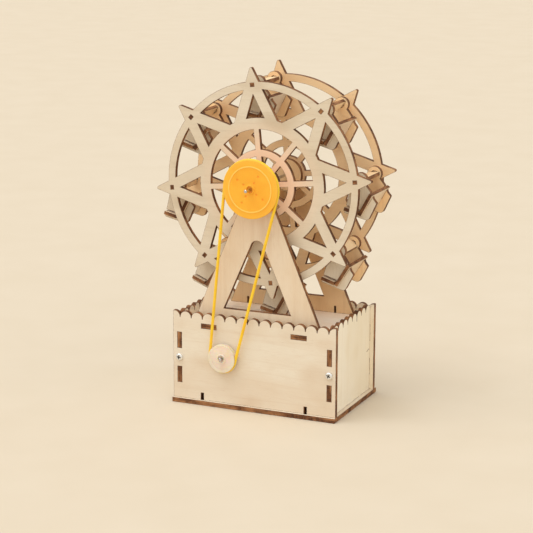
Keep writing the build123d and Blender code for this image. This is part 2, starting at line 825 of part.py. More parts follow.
belt_solid = drive_belt.part
belt_length = sum(edge.length for edge in belt_line.line.edges())
belt_ratio = belt_solid.volume / (belt_length * 3.14159265 * belt_radius**2)
print(f"belt {belt_length:.1f} mm long, solid over section times length {belt_ratio:.4f}")
print(f"crossbar to crossbar {2 * crossbar_radius * sin(radians(180 / arm_count)):.1f} mm")
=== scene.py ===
"""Looks of a hand-cranked big-wheel toy: laser-cut plywood, moulded pulleys, a round belt, steel fittings.

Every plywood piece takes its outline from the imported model, and is cut again here with
burnt edges, a broken arris and the grain of the sheet it came from. The pulleys, shafts,
bushes, screws and the crank's knob are turned or moulded from their own profiles.
Sizes in the classes are millimetres; the meshes are metres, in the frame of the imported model.
"""

import json
import logging
import math
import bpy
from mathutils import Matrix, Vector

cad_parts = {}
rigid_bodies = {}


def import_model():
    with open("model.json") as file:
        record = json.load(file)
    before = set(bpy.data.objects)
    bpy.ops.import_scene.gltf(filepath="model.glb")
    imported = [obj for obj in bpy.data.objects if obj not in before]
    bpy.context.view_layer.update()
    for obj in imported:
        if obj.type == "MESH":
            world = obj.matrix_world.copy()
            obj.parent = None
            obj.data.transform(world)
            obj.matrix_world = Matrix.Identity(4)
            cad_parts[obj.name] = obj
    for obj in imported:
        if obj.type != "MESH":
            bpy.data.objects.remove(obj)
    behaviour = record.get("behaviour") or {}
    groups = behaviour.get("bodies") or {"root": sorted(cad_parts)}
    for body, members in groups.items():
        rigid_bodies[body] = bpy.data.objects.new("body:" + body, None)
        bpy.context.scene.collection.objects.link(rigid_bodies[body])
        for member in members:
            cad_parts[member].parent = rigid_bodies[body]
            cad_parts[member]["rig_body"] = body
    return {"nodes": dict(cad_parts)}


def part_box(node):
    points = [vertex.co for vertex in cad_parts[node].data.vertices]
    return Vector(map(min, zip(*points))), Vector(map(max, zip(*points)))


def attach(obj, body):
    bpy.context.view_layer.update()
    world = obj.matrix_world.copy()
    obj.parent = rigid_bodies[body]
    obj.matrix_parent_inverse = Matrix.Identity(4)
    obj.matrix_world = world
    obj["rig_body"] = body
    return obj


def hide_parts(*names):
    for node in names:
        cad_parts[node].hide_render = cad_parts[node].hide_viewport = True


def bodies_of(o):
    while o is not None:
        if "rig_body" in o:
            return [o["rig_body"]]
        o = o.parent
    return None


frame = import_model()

import zlib
from collections.abc import Callable, Sequence
from dataclasses import dataclass
from enum import Enum, IntEnum
from typing import Protocol

import bmesh
import bpy
import numpy as np
from mathutils import Matrix, Vector
from mathutils.geometry import delaunay_2d_cdt

MM = 0.001
SHEET_PLY = 3.0
THIN_PLY = 2.2
log = logging.getLogger("wheel_toy")

Point = tuple[float, float]
Triple = tuple[float, float, float]
Colour = Triple
Socket = bpy.types.NodeSocket


class Slot(Enum):
    """Material slots of the record."""

    PLYWOOD = "plywood"
    TURNED_WOOD = "turned_wood"
    SHAFT = "steel_shaft"
    PLATED = "plated_steel"
    YELLOW = "yellow_plastic"
    MILKY = "milky_plastic"
    BELT = "yellow_belt"


class Way(Enum):
    """A named direction."""

    @property
    def way(self) -> Vector:
        """The direction as a vector."""
        return Vector(self.value)


class Facing(Way):
    """Which way a sheet's good face looks."""

    FRONT = (0.0, -1.0, 0.0)
    BACK = (0.0, 1.0, 0.0)
    LEFT = (-1.0, 0.0, 0.0)
    RIGHT = (1.0, 0.0, 0.0)
    UP = (0.0, 0.0, 1.0)


class Grain(Way):
    """Which way a sheet's face grain runs."""

    ACROSS = (1.0, 0.0, 0.0)
    DEEP = (0.0, 1.0, 0.0)
    UPRIGHT = (0.0, 0.0, 1.0)


class Layer(IntEnum):
    """Material index of a sheet's faces and of its cut edges."""

    FACE = 0
    CUT = 1


def tone(red: int, green: int, blue: int) -> Colour:
    """Turn a shade as seen into linear light.

    Args:
        red: its red part, 0 to 255.
        green: its green part.
        blue: its blue part.

    Returns:
        The linear colour.
    """
    seen = (red / 255, green / 255, blue / 255)
    return tuple(s / 12.92 if s <= 0.04045 else ((s + 0.055) / 1.055) ** 2.4 for s in seen)


# ---------------------------------------------------------------- finishes


class Recipe:
    """Short ways to lay out one material's nodes."""

    def __init__(self, name: str) -> None:
        """Start a material with one surface shader.

        Args:
            name: the material's name.
        """
        self.material = bpy.data.materials.new(name)
        self.material.use_nodes = True
        self.tree = self.material.node_tree
        self.tree.nodes.clear()
        self.shader = self.node("ShaderNodeBsdfPrincipled")
        output = self.node("ShaderNodeOutputMaterial")
        self.tree.links.new(self.shader.outputs["BSDF"], output.inputs["Surface"])

    def node(self, kind: str, **settings: object) -> bpy.types.Node:
        """Add a node.

        Args:
            kind: its type.
            settings: its properties.

        Returns:
            The node.
        """
        made = self.tree.nodes.new(kind)
        for name, value in settings.items():
            setattr(made, name, value)
        return made

    def feed(self, socket: Socket, value: object) -> None:
        """Link a socket to another, or set it.

        Args:
            socket: the socket to feed.
            value: another socket, a colour or a number.
        """
        if isinstance(value, Socket):
            self.tree.links.new(value, socket)
        elif isinstance(value, tuple) and socket.type == "RGBA":
            socket.default_value = (*value, 1.0)
        else:
            socket.default_value = value

    def attribute(self, name: str, output: str = "Vector") -> Socket:
        """Output of a mesh attribute."""
        return self.node("ShaderNodeAttribute", attribute_name=name).outputs[output]

    def object_place(self) -> Socket:
        """Place on the object, in millimetres."""
        return self.stretched(self.node("ShaderNodeTexCoord").outputs["Object"], (1000.0, 1000.0, 1000.0))

    def stretched(self, vector: Socket, by: Triple) -> Socket:
        """Multiply a vector.

        Args:
            vector: the vector.
            by: how much, for each axis.

        Returns:
            The product.
        """
        made = self.node("ShaderNodeVectorMath", operation="MULTIPLY")
        self.feed(made.inputs[0], vector)
        made.inputs[1].default_value = by
        return made.outputs[0]

    def maths(self, operation: str, *values: object) -> Socket:
        """Do one sum.

        Args:
            operation: the Math node's operation.
            values: its one or two numbers or sockets.

        Returns:
            The result.
        """
        made = self.node("ShaderNodeMath", operation=operation)
        for socket, value in zip(made.inputs, values):
            self.feed(socket, value)
        return made.outputs[0]

    def noise(self, vector: Socket, scale: float | Triple, **settings: float) -> Socket:
        """Read noise.

        Args:
            vector: where it is read.
            scale: one scale for all axes, or one for each.
            settings: the node's other inputs.

        Returns:
            The noise, 0 to 1.
        """
        if isinstance(scale, tuple):
            vector, scale = self.stretched(vector, scale), 1.0
        made = self.node("ShaderNodeTexNoise")
        self.feed(made.inputs["Vector"], vector)
        for name, value in {"Scale": scale, **settings}.items():
            made.inputs[name].default_value = value
        return made.outputs["Fac"]

    def span(self, value: Socket, low: float, high: float, start: float = 0.0, end: float = 1.0) -> Socket:
        """Map a value from one range to another and keep it inside.

        Args:
            value: the value.
            low: the first range's low end.
            high: its high end.
            start: what the low end becomes.
            end: what the high end becomes.

        Returns:
            The mapped value.
        """
        made = self.node("ShaderNodeMapRange")
        self.feed(made.inputs["Value"], value)
        for name, number in (("From Min", low), ("From Max", high), ("To Min", start), ("To Max", end)):
            made.inputs[name].default_value = number
        return made.outputs["Result"]

    def blend(self, share: Socket, first: object, second: object) -> Socket:
        """Mix two colours.

        Args:
            share: how much of the second.
            first: the first colour.
            second: the second colour.

        Returns:
            The mix.
        """
        made = self.node("ShaderNodeMix", data_type="RGBA")
        for place, value in (("Factor", share), (6, first), (7, second)):
            self.feed(made.inputs[place], value)
        return made.outputs[2]

    def bump(self, height: Socket, depth: float, strength: float = 0.5) -> None:
        """Give the surface a relief.

        Args:
            height: its height, 0 to 1.
            depth: its depth in millimetres.
            strength: how plainly it shows.
        """
        made = self.node("ShaderNodeBump")
        made.inputs["Distance"].default_value = depth * MM
        made.inputs["Strength"].default_value = strength
        self.feed(made.inputs["Height"], height)
        self.tree.links.new(made.outputs["Normal"], self.shader.inputs["Normal"])

    def set(self, **values: object) -> None:
        """Set or link the shader's inputs; an underscore in a name stands for a space."""
        for name, value in values.items():
            self.feed(self.shader.inputs[name.replace("_", " ")], value)


class Finish(Protocol):
    """Anything that makes a material."""

    def material(self) -> bpy.types.Material:
        """Build the material."""


@dataclass(frozen=True)
class PlywoodFace:
    """Sanded face veneer: fine grain, soft clouds and streaks, a painted warm glow of light from the yellow
    pulley where a piece has one, and a smoked line along each cut.
    """

    name: str
    pale: Colour
    warm: Colour
    streak: Colour
    fleck: Colour = tone(178, 146, 108)
    smoke: Colour = tone(104, 62, 34)
    contrast: float = 1.0
    # painted light: the warm colour of light thrown on the veneer by the yellow pulley
    pulley_glow: Colour = tone(246, 214, 184)

    def material(self) -> bpy.types.Material:
        """Build the material.

        Returns:
            The finished material.
        """
        made = Recipe(self.name)
        sheet = made.attribute("sheet")
        cloud = made.noise(sheet, (0.014, 0.03, 0.05), Detail=3.0, Roughness=0.5)
        patch = made.noise(sheet, (0.034, 0.05, 0.05), Detail=1.0)
        figure = made.noise(sheet, (0.02, 0.3, 0.1), Detail=3.0, Roughness=0.55, Distortion=0.9)
        fibre = made.noise(sheet, (0.2, 4.6, 1.0), Detail=3.0, Roughness=0.6)
        pores = made.noise(sheet, (0.34, 3.4, 1.0), Detail=1.0, Roughness=0.4)
        shade = made.blend(made.span(cloud, 0.36, 0.66), self.pale, self.warm)
        for pattern, low, high, most, colour in (
            (patch, 0.56, 0.76, 0.4, self.streak),
            (figure, 0.5, 0.8, 0.3, self.streak),
            (fibre, 0.46, 0.8, 0.3, self.streak),
            (pores, 0.69, 0.78, 0.3, self.fleck),
        ):
            shade = made.blend(made.span(pattern, low, high, 0.0, most * self.contrast), shade, colour)
        # painted light: warm glow from the yellow pulley, mixed in by its attribute
        shade = made.blend(made.attribute("pulley_glow", "Fac"), shade, self.pulley_glow)
        wander = made.span(made.noise(sheet, 0.55, Detail=2.0), 0.3, 0.62, 0.25, 0.95)
        shade = made.blend(made.maths("MULTIPLY", made.attribute("shade", "Fac"), wander), shade, self.smoke)
        made.set(
            Base_Color=shade, Roughness=made.span(fibre, 0.2, 0.8, 0.58, 0.72), Specular_IOR_Level=0.3
        )
        made.bump(made.maths("ADD", fibre, figure), 0.02, 0.55)
        return made.material


class Veneer(Enum):
    """Face veneers, which differ a little from sheet to sheet; the rosy and tan ones are also brightened as
    painted light for the shaded inside.
    """

    PALE = PlywoodFace("veneer_pale", tone(234, 223, 204), tone(226, 208, 184), tone(210, 183, 152))
    CREAM = PlywoodFace(
        "veneer_cream", tone(250, 240, 220), tone(244, 230, 203), tone(226, 206, 170), contrast=0.7
    )
    PEACH = PlywoodFace("veneer_peach", tone(235, 218, 194), tone(227, 203, 172), tone(208, 175, 138))
    GREY = PlywoodFace(
        "veneer_grey", tone(226, 213, 192), tone(218, 201, 175), tone(190, 168, 138), contrast=1.2
    )
    # painted light in part: the deck's own pinkish tone, made as bright as it goes to stand in for light lost
    # to shade inside the box
    ROSY_LIT = PlywoodFace("veneer_rosy_lit", tone(255, 244, 228), tone(251, 232, 210), tone(228, 196, 164))
    # painted light in part: the rear sheets' own tan tone, brightened and warmed further to stand in for warm
    # bounce light inside the wheel and frames
    TAN_BOUNCE_LIT = PlywoodFace("veneer_tan_bounce_lit", tone(251, 221, 178), tone(244, 208, 160), tone(218, 174, 126))


@dataclass(frozen=True)
class LaserCut:
    """Cut edge of the sheet: scorched brown with its plies, darkest along both faces."""

    ply: float = SHEET_PLY
    name: str = "plywood_cut_edge"
    core_share: float = 0.36
    char: Colour = tone(62, 36, 20)
    brown: Colour = tone(134, 84, 50)
    amber: Colour = tone(188, 132, 86)

    def material(self) -> bpy.types.Material:
        """Build the material.

        Returns:
            The finished material.
        """
        made = Recipe(f"{self.name}_{self.ply:g}".replace(".", "_"))
        sheet = made.attribute("sheet")
        apart = made.node("ShaderNodeSeparateXYZ")
        made.feed(apart.inputs[0], sheet)
        depth = made.maths("DIVIDE", apart.outputs[2], self.ply)
        off_middle = made.maths("ABSOLUTE", made.maths("SUBTRACT", depth, 0.5))
        half_core = self.core_share / 2
        glue = made.maths("ABSOLUTE", made.maths("SUBTRACT", off_middle, half_core))
        core = made.span(off_middle, half_core - 0.02, half_core + 0.02, 1.0, 0.0)
        stripes = made.noise(sheet, (2.6, 2.6, 0.22), Detail=3.0, Roughness=0.65)
        patch = made.noise(sheet, (0.11, 0.11, 0.3), Detail=2.0)
        fine = made.noise(sheet, (9.0, 9.0, 1.6), Detail=2.0)
        shade = made.blend(made.span(stripes, 0.34, 0.66), self.char, self.brown)
        shade = made.blend(made.span(patch, 0.42, 0.64, 0.0, 0.8), shade, self.amber)
        for burnt in (
            made.maths("MULTIPLY", core, made.span(fine, 0.3, 0.7, 0.05, 0.4)),
            made.span(glue, 0.0, 0.035, 0.5, 0.0),
            made.span(off_middle, 0.36, 0.49, 0.0, 0.75),
        ):
            shade = made.blend(burnt, shade, self.char)
        made.set(
            Base_Color=shade, Roughness=made.span(stripes, 0.3, 0.7, 0.62, 0.82), Specular_IOR_Level=0.3
        )
        made.bump(made.maths("ADD", stripes, fine), 0.05, 0.7)
        return made.material


@dataclass(frozen=True)
class MouldedPlastic:
    """Solid-coloured moulded plastic: flow marks, painted shade in its hollows and a painted highlight on its
    raised edges.
    """

    name: str
    main: Colour
    flow: Colour
    # painted shade: a deeper colour laid in the recess, the groove and the dimples, where shade falls
    hollow_shade: Colour
    # painted highlight: a paler colour laid on the raised ring and the rim band, where light catches
    raised: Colour
    gloss: float = 0.4
    glow_share: float = 0.2
    glow_reach: float = 2.0
    clear_share: float = 0.0

    def material(self) -> bpy.types.Material:
        """Build the material.

        Returns:
            The finished material.
        """
        made = Recipe(self.name)
        place = made.object_place()
        flow = made.noise(place, 0.07, Detail=2.0, Distortion=0.6)
        grain = made.noise(place, 6.0, Detail=2.0, Roughness=0.6)
        level = made.attribute("shade", "Fac")
        shade = made.blend(made.span(flow, 0.38, 0.66), self.main, self.flow)
        # painted shade in the hollows (shade over 0), then a painted highlight on the proud parts (shade
        # under 0)
        shade = made.blend(made.span(level, 0.0, 1.0), shade, self.hollow_shade)
        shade = made.blend(made.span(level, -1.0, 0.0, 1.0, 0.0), shade, self.raised)
        made.set(
            Base_Color=shade,
            Roughness=made.span(grain, 0.25, 0.75, self.gloss - 0.05, self.gloss + 0.07),
            IOR=1.46,
            Subsurface_Weight=self.glow_share,
            Subsurface_Radius=(1.0, 0.6, 0.25),
            Subsurface_Scale=self.glow_reach * MM,
            Transmission_Weight=self.clear_share,
        )
        made.bump(grain, 0.01)
        return made.material


@dataclass(frozen=True)
class Metal:
    """Steel, turned or plated, with fine marks of the tool and painted shade in its recesses."""

    name: str
    bright: Colour
    dull: Colour
    roughness: float
    marks: Triple
    # painted shade: a dark colour laid in the screw heads' cross recesses, where shade falls
    recess_shade: Colour = (0.06, 0.055, 0.05)

    def material(self) -> bpy.types.Material:
        """Build the material.

        Returns:
            The finished material.
        """
        made = Recipe(self.name)
        place = made.object_place()
        brushed = made.noise(place, self.marks, Detail=3.0)
        smear = made.noise(place, 0.5, Detail=2.0)
        shade = made.blend(made.span(smear, 0.35, 0.7), self.bright, self.dull)
        # painted shade in the recesses, from the shade attribute
        shade = made.blend(made.span(made.attribute("shade", "Fac"), 0.0, 1.0), shade, self.recess_shade)
        made.set(
            Base_Color=shade,
            Metallic=1.0,
            Roughness=made.span(brushed, 0.2, 0.8, self.roughness - 0.07, self.roughness + 0.08),
        )
        made.bump(brushed, 0.004)
        return made.material


@dataclass(frozen=True)
class TurnedWood:
    """Turned beech: pinkish brown with short dark rays and fine tool rings."""

    name: str = "turned_beech"
    pale: Colour = tone(214, 176, 134)
    dark: Colour = tone(184, 140, 97)
    ray: Colour = tone(140, 96, 60)

    def material(self) -> bpy.types.Material:
        """Build the material.

        Returns:
            The finished material.
        """
        made = Recipe(self.name)
        place = made.object_place()
        rings = made.noise(place, (0.9, 0.07, 0.9), Detail=4.0, Distortion=0.5)
        rays = made.noise(place, (4.0, 0.7, 4.0), Detail=1.0)
        tool = made.noise(place, (0.05, 7.0, 0.05), Detail=2.0)
        shade = made.blend(made.span(rings, 0.35, 0.68), self.pale, self.dark)
        shade = made.blend(made.span(rays, 0.66, 0.76, 0.0, 0.7), shade, self.ray)
        made.set(Base_Color=shade, Roughness=made.span(tool, 0.3, 0.7, 0.42, 0.55), Coat_Weight=0.15)
        made.bump(made.maths("ADD", tool, rays), 0.02)
        return made.material


@dataclass(frozen=True)
class StudioPaper:
    """Matt pale paper of the floor."""

    name: str = "studio_paper"
    pale: Colour = tone(219, 206, 186)
    shaded: Colour = tone(213, 199, 177)

    def material(self) -> bpy.types.Material:
        """Build the material.

        Returns:
            The finished material.
        """
        made = Recipe(self.name)
        cloud = made.noise(made.object_place(), 0.02, Detail=2.0)
        made.set(
            Base_Color=made.blend(cloud, self.pale, self.shaded), Roughness=0.9, Specular_IOR_Level=0.2
        )
        return made.material


class Finishes:
    """The toy's materials, each made once when it is first asked for."""

    def __init__(self) -> None:
        """Start with no material made."""
        self.made: dict[Finish, bpy.types.Material] = {}

    def of(self, finish: Finish) -> bpy.types.Material:
        """Look up a finish, and make it if it isn't there yet.

        Args:
            finish: the finish.

        Returns:
            Its material.
        """
        if finish not in self.made:
            self.made[finish] = finish.material()
        return self.made[finish]


# The hollow and raised colours of these mouldings are painted shade and painted highlight.
YELLOW = MouldedPlastic(
    "yellow_moulding",
    main=tone(255, 186, 50),
    flow=tone(253, 177, 42),
    hollow_shade=tone(255, 152, 40),
    raised=tone(255, 206, 96),
    gloss=0.45,
    glow_share=0.25,
)
MILKY = MouldedPlastic(
    "milky_nylon",
    main=tone(248, 228, 208),
    flow=tone(242, 219, 196),
    hollow_shade=tone(244, 226, 206),
    raised=tone(255, 252, 246),
    gloss=0.42,
    glow_share=0.55,
    glow_reach=3.0,
    clear_share=0.1,
)
RUBBER = MouldedPlastic(
    "belt_rubber",
    main=tone(252, 208, 52),
    flow=tone(246, 196, 40),
    hollow_shade=tone(236, 168, 30),
    raised=tone(255, 226, 110),
    glow_share=0.3,
)
SHAFT_STEEL = Metal("drawn_steel", (0.62, 0.62, 0.62), (0.5, 0.5, 0.51), 0.24, marks=(20.0, 1.2, 20.0))
PLATED_STEEL = Metal("zinc_plate", (0.9, 0.9, 0.9), (0.78, 0.79, 0.8), 0.36, marks=(6.0, 6.0, 6.0))
BEECH = TurnedWood()


# ---------------------------------------------------------------- mesh work


@dataclass(frozen=True)
class Bench:
    """Flat coordinates on a sheet or a disc: u and v across its face, w out of it, in millimetres."""

    origin: Vector
    u: Vector
    v: Vector
    w: Vector

    @classmethod
    def on(cls, face: Vector, along: Vector, origin: Vector = Vector((0, 0, 0))) -> "Bench":
        """Lay out a bench on a face.

        Args:
            face: the face's normal.
            along: where u runs, as nearly as the face allows.
            origin: where u, v and w are 0.

        Returns:
            The bench.
        """
        w = face.normalized()
        u = (along - along.dot(w) * w).normalized()
        return cls(origin, u, w.cross(u), w)

    def flat(self, place: Vector) -> Vector:
        """Coordinates (u, v) of a place."""
        gone = place - self.origin
        return Vector((gone.dot(self.u), gone.dot(self.v)))

    def place(self, flat: Vector, depth: float) -> Vector:
        """Place of flat coordinates at a depth along w."""
        return self.origin + self.u * flat[0] + self.v * flat[1] + self.w * depth


def inset(loop: list[Vector], amount: float) -> list[Vector]:
    """Move a closed loop towards the material on its left, with mitred corners.

    Args:
        loop: the loop's points, material on the left.
        amount: how far, in millimetres.

    Returns:
        As many points.
    """
    if not amount:
        return list(loop)
    moved = []
    for index, point in enumerate(loop):
        before = (point - loop[index - 1]).normalized()
        after = (loop[(index + 1) % len(loop)] - point).normalized()
        across = Vector((-before.y, before.x))
        middle = across + Vector((-after.y, after.x))
        middle = middle.normalized() if middle.length > 1e-6 else across
        moved.append(point + middle * (amount / max(middle.dot(across), 0.35)))
    return moved


def within(points: np.ndarray, starts: np.ndarray, ends: np.ndarray) -> np.ndarray:
    """Find which points lie in the material between closed loops.

    Args:
        points: one row (u, v) for each point.
        starts: where each side of the loops starts.
        ends: where each side ends.

    Returns:
        True for each point with an odd number of sides on its right.
    """
    u, v = points[:, :1], points[:, 1:]
    crossed = (starts[:, 1] > v) != (ends[:, 1] > v)
    rise = np.where(ends[:, 1] == starts[:, 1], 1.0, ends[:, 1] - starts[:, 1])
    meets = starts[:, 0] + (v - starts[:, 1]) * (ends[:, 0] - starts[:, 0]) / rise
    return (crossed & (meets > u)).sum(axis=1) % 2 == 1


def arc(centre: Point, radius: float, start: float, end: float, steps: int) -> list[Point]:
    """Lay points along an arc.

    Args:
        centre: the arc's centre.
        radius: its radius.
        start: the angle of its first point.
        end: the angle of its last.
        steps: its points, less one.

    Returns:
        The points.
    """
    angles = [start + (end - start) * step / steps for step in range(steps + 1)]
    return [(centre[0] + radius * math.cos(a), centre[1] + radius * math.sin(a)) for a in angles]


def circle(centre: Point, radius: float, steps: int, hole: bool = False) -> list[Vector]:
    """Points round a circle, clockwise for a hole."""
    turn = -math.tau if hole else math.tau
    return [Vector(p) for p in arc(centre, radius, 0.0, turn, steps)[:-1]]


def border(triangles: np.ndarray) -> list[list[int]]:
    """Find the closed loops round a patch of triangles.

    Args:
        triangles: the point numbers of each.

    Returns:
        The point numbers of each loop, with the material on its left.
    """
    sides = dict.fromkeys((int(t[k]), int(t[(k + 1) % 3])) for t in triangles for k in range(3))
    after: dict[int, list[int]] = {}
    for start, end in sides:
        if (end, start) not in sides:
            after.setdefault(start, []).append(end)
    loops = []
    while after:
        loop = [next(iter(after))]
        while True:
            here = loop[-1]
            following = after[here].pop()
            if not after[here]:
                del after[here]
            if following == loop[0]:
                break
            loop.append(following)
        loops.append(loop)
    return loops


def rounded(profile: Sequence[Triple], steps: int = 4) -> list[Point]:
    """Round the corners of a profile.

    Args:
        profile: (across, along, radius) of each corner; radius 0 stays sharp.
        steps: points in each round, less one.

    Returns:
        The rounded profile's points.
    """
    points: list[Point] = []
    for index, (across, along, radius) in enumerate(profile):
        here = Vector((across, along))
        before = Vector(profile[index - 1][:2]) - here
        after = Vector(profile[(index + 1) % len(profile)][:2]) - here
        if not radius or before.length < 1e-6 or after.length < 1e-6:
            points.append((across, along))
            continue
        half = before.angle(after) / 2
        back = min(radius / math.tan(half), before.length * 0.49, after.length * 0.49)
        start, end = here + before.normalized() * back, here + after.normalized() * back
        for step in range(steps + 1):
            t = step / steps
            point = start * (1 - t) ** 2 + here * 2 * t * (1 - t) + end * t**2
            points.append((point.x, point.y))
    return points


class Draft:
    """Points and faces of one piece while it is being made, in millimetres."""

    def __init__(self) -> None:
        """Start with no points and no faces."""
        self.points: list[Vector] = []
        self.faces: list[tuple[int, ...]] = []
        self.layers: list[int] = []
        self.wood: list[Vector] = []
        self.shades: list[float] = []
        self.pulley_glows: list[float] = []

    def row(
        self,
        places: Sequence[Vector],
        shade: float = 0.0,
        wood: Sequence[Vector] = (),
        pulley_glow: Sequence[float] = (),
    ) -> list[int]:
        """Add a row of points.

        Args:
            places: where the points are.
            shade: on wood, how burnt they are, 0 to 1; on plastic and steel, how much painted shade they take
                in a hollow, 0 to 1, and below 0, how much painted highlight they take on a proud edge.
            wood: their coordinates in the sheet, if they are wood.
            pulley_glow: how much painted warm light from the yellow pulley falls on each of them, 0 to 1.

        Returns:
            The points' numbers.
        """
        start = len(self.points)
        self.points.extend(places)
        self.wood.extend(wood or places)
        self.shades.extend([shade] * len(places))
        self.pulley_glows.extend(pulley_glow or [0.0] * len(places))
        return list(range(start, len(self.points)))

    def face(self, corners: Sequence[int], layer: int = 0) -> None:
        """Add a face, less repeated corners.

        Args:
            corners: the points' numbers.
            layer: material index.
        """
        kept = [c for i, c in enumerate(corners) if c != corners[i - 1]]
        if len(kept) > 2:
            self.faces.append(tuple(kept))
            self.layers.append(layer)

    def strips(self, rows: Sequence[list[int]], layers: Sequence[int] = (), closed: bool = False) -> None:
        """Join each closed row to the next by four-sided faces.

        Args:
            rows: the rows, with as many points each.
            layers: material index of each strip; without them, 0.
            closed: whether the last row joins the first.
        """
        pairs = list(zip(rows, rows[1:])) + ([(rows[-1], rows[0])] if closed else [])
        for (first, second), layer in zip(pairs, layers or [0] * len(pairs)):
            for k in range(len(first)):
                n = (k + 1) % len(first)
                self.face((first[k], first[n], second[n], second[k]), layer)

    def fill(self, rows: list[list[int]], bench: Bench, layer: int = 0, away: bool = False) -> None:
        """Cover the flat area between closed rows; rows inside others are holes.

        Args:
            rows: the rows' point numbers.
            bench: the flat coordinates.
            layer: material index.
            away: whether the face looks along -w.
        """
        numbers = [n for row in rows for n in row]
        flats = [bench.flat(self.points[n]) for n in numbers]
        edges, start = [], 0
        for row in rows:
            edges += [(start + k, start + (k + 1) % len(row)) for k in range(len(row))]
            start += len(row)
        places, _, faces, origin, _, _ = delaunay_2d_cdt(flats, edges, [], 1, 1e-6)
        sides = np.array([[flats[a], flats[b]] for a, b in edges])
        middles = np.array(places)[np.array(faces)].mean(axis=1)
        for corners, solid in zip(faces, within(middles, sides[:, 0], sides[:, 1])):
            if solid and all(origin[c] for c in corners):
                found = [numbers[origin[c][0]] for c in corners]
                self.face(found[::-1] if away else found, layer)

    def turn(
        self,
        profile: Sequence[Point],
        centre: Point,
        steps: int = 64,
        closed: bool = True,
        bench: Bench | None = None,
        shade: Callable[[float, float], float] | None = None,
    ) -> list[list[int]]:
        """Turn a profile on a lathe.

        Args:
            profile: (radius, place along the axis) of each point.
            centre: the axis's x and z, where no bench is given.
            steps: faces round the axis.
            closed: whether the profile's last point joins its first.
            bench: the axis is this bench's w; without it, the axis runs along +Y.
            shade: gives a profile point's shade from its radius and its place along the axis.

        Returns:
            One row of point numbers for each profile point.
        """
        axis = bench or Bench(
            Vector((centre[0], 0, centre[1])), Vector((1, 0, 0)), Vector((0, 0, 1)), Vector((0, 1, 0))
        )
        rows = []
        for radius, along in profile:
            level = shade(radius, along) if shade else 0.0
            if radius < 1e-6:
                rows.append(self.row([axis.place(Vector((0, 0)), along)], level) * steps)
            else:
                ring = circle((0.0, 0.0), radius, steps)
                rows.append(self.row([axis.place(p, along) for p in ring], level))
        self.strips(rows, closed=closed)
        return rows

    def finish(
        self, name: str, body: str, slot: Slot, materials: Sequence[bpy.types.Material],
        nodes: Sequence[str], crease: float = 32.0,
    ) -> bpy.types.Object:
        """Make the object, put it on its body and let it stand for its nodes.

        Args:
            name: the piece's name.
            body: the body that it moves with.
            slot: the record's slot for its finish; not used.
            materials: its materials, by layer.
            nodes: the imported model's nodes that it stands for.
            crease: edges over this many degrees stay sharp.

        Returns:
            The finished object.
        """
        mesh = bpy.data.meshes.new(name)
        mesh.from_pydata([p * MM for p in self.points], [], self.faces)
        mesh.polygons.foreach_set("material_index", self.layers)
        work = bmesh.new()
        work.from_mesh(mesh)
        bmesh.ops.recalc_face_normals(work, faces=work.faces)
        work.to_mesh(mesh)
        work.free()
        for key, kind, field_name, values in (
            ("sheet", "FLOAT_VECTOR", "vector", [c for p in self.wood for c in p]),
            ("shade", "FLOAT", "value", self.shades),
            ("pulley_glow", "FLOAT", "value", self.pulley_glows),
        ):
            mesh.attributes.new(key, kind, "POINT").data.foreach_set(field_name, values)
        mesh.shade_smooth()
        mesh.set_sharp_from_angle(angle=math.radians(crease))
        for material in materials:
            mesh.materials.append(material)
        made = bpy.data.objects.new(name, mesh)
        bpy.context.scene.collection.objects.link(made)
        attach(made, body)
        if nodes:
            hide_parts(*nodes)
        log.info("%s: %d faces on %s", name, len(mesh.polygons), body)
        return made


def body_of(node: str) -> str:
    """Name of the body that a node moves with."""
    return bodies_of(frame["nodes"][node])[0]


# ---------------------------------------------------------------- sheet pieces


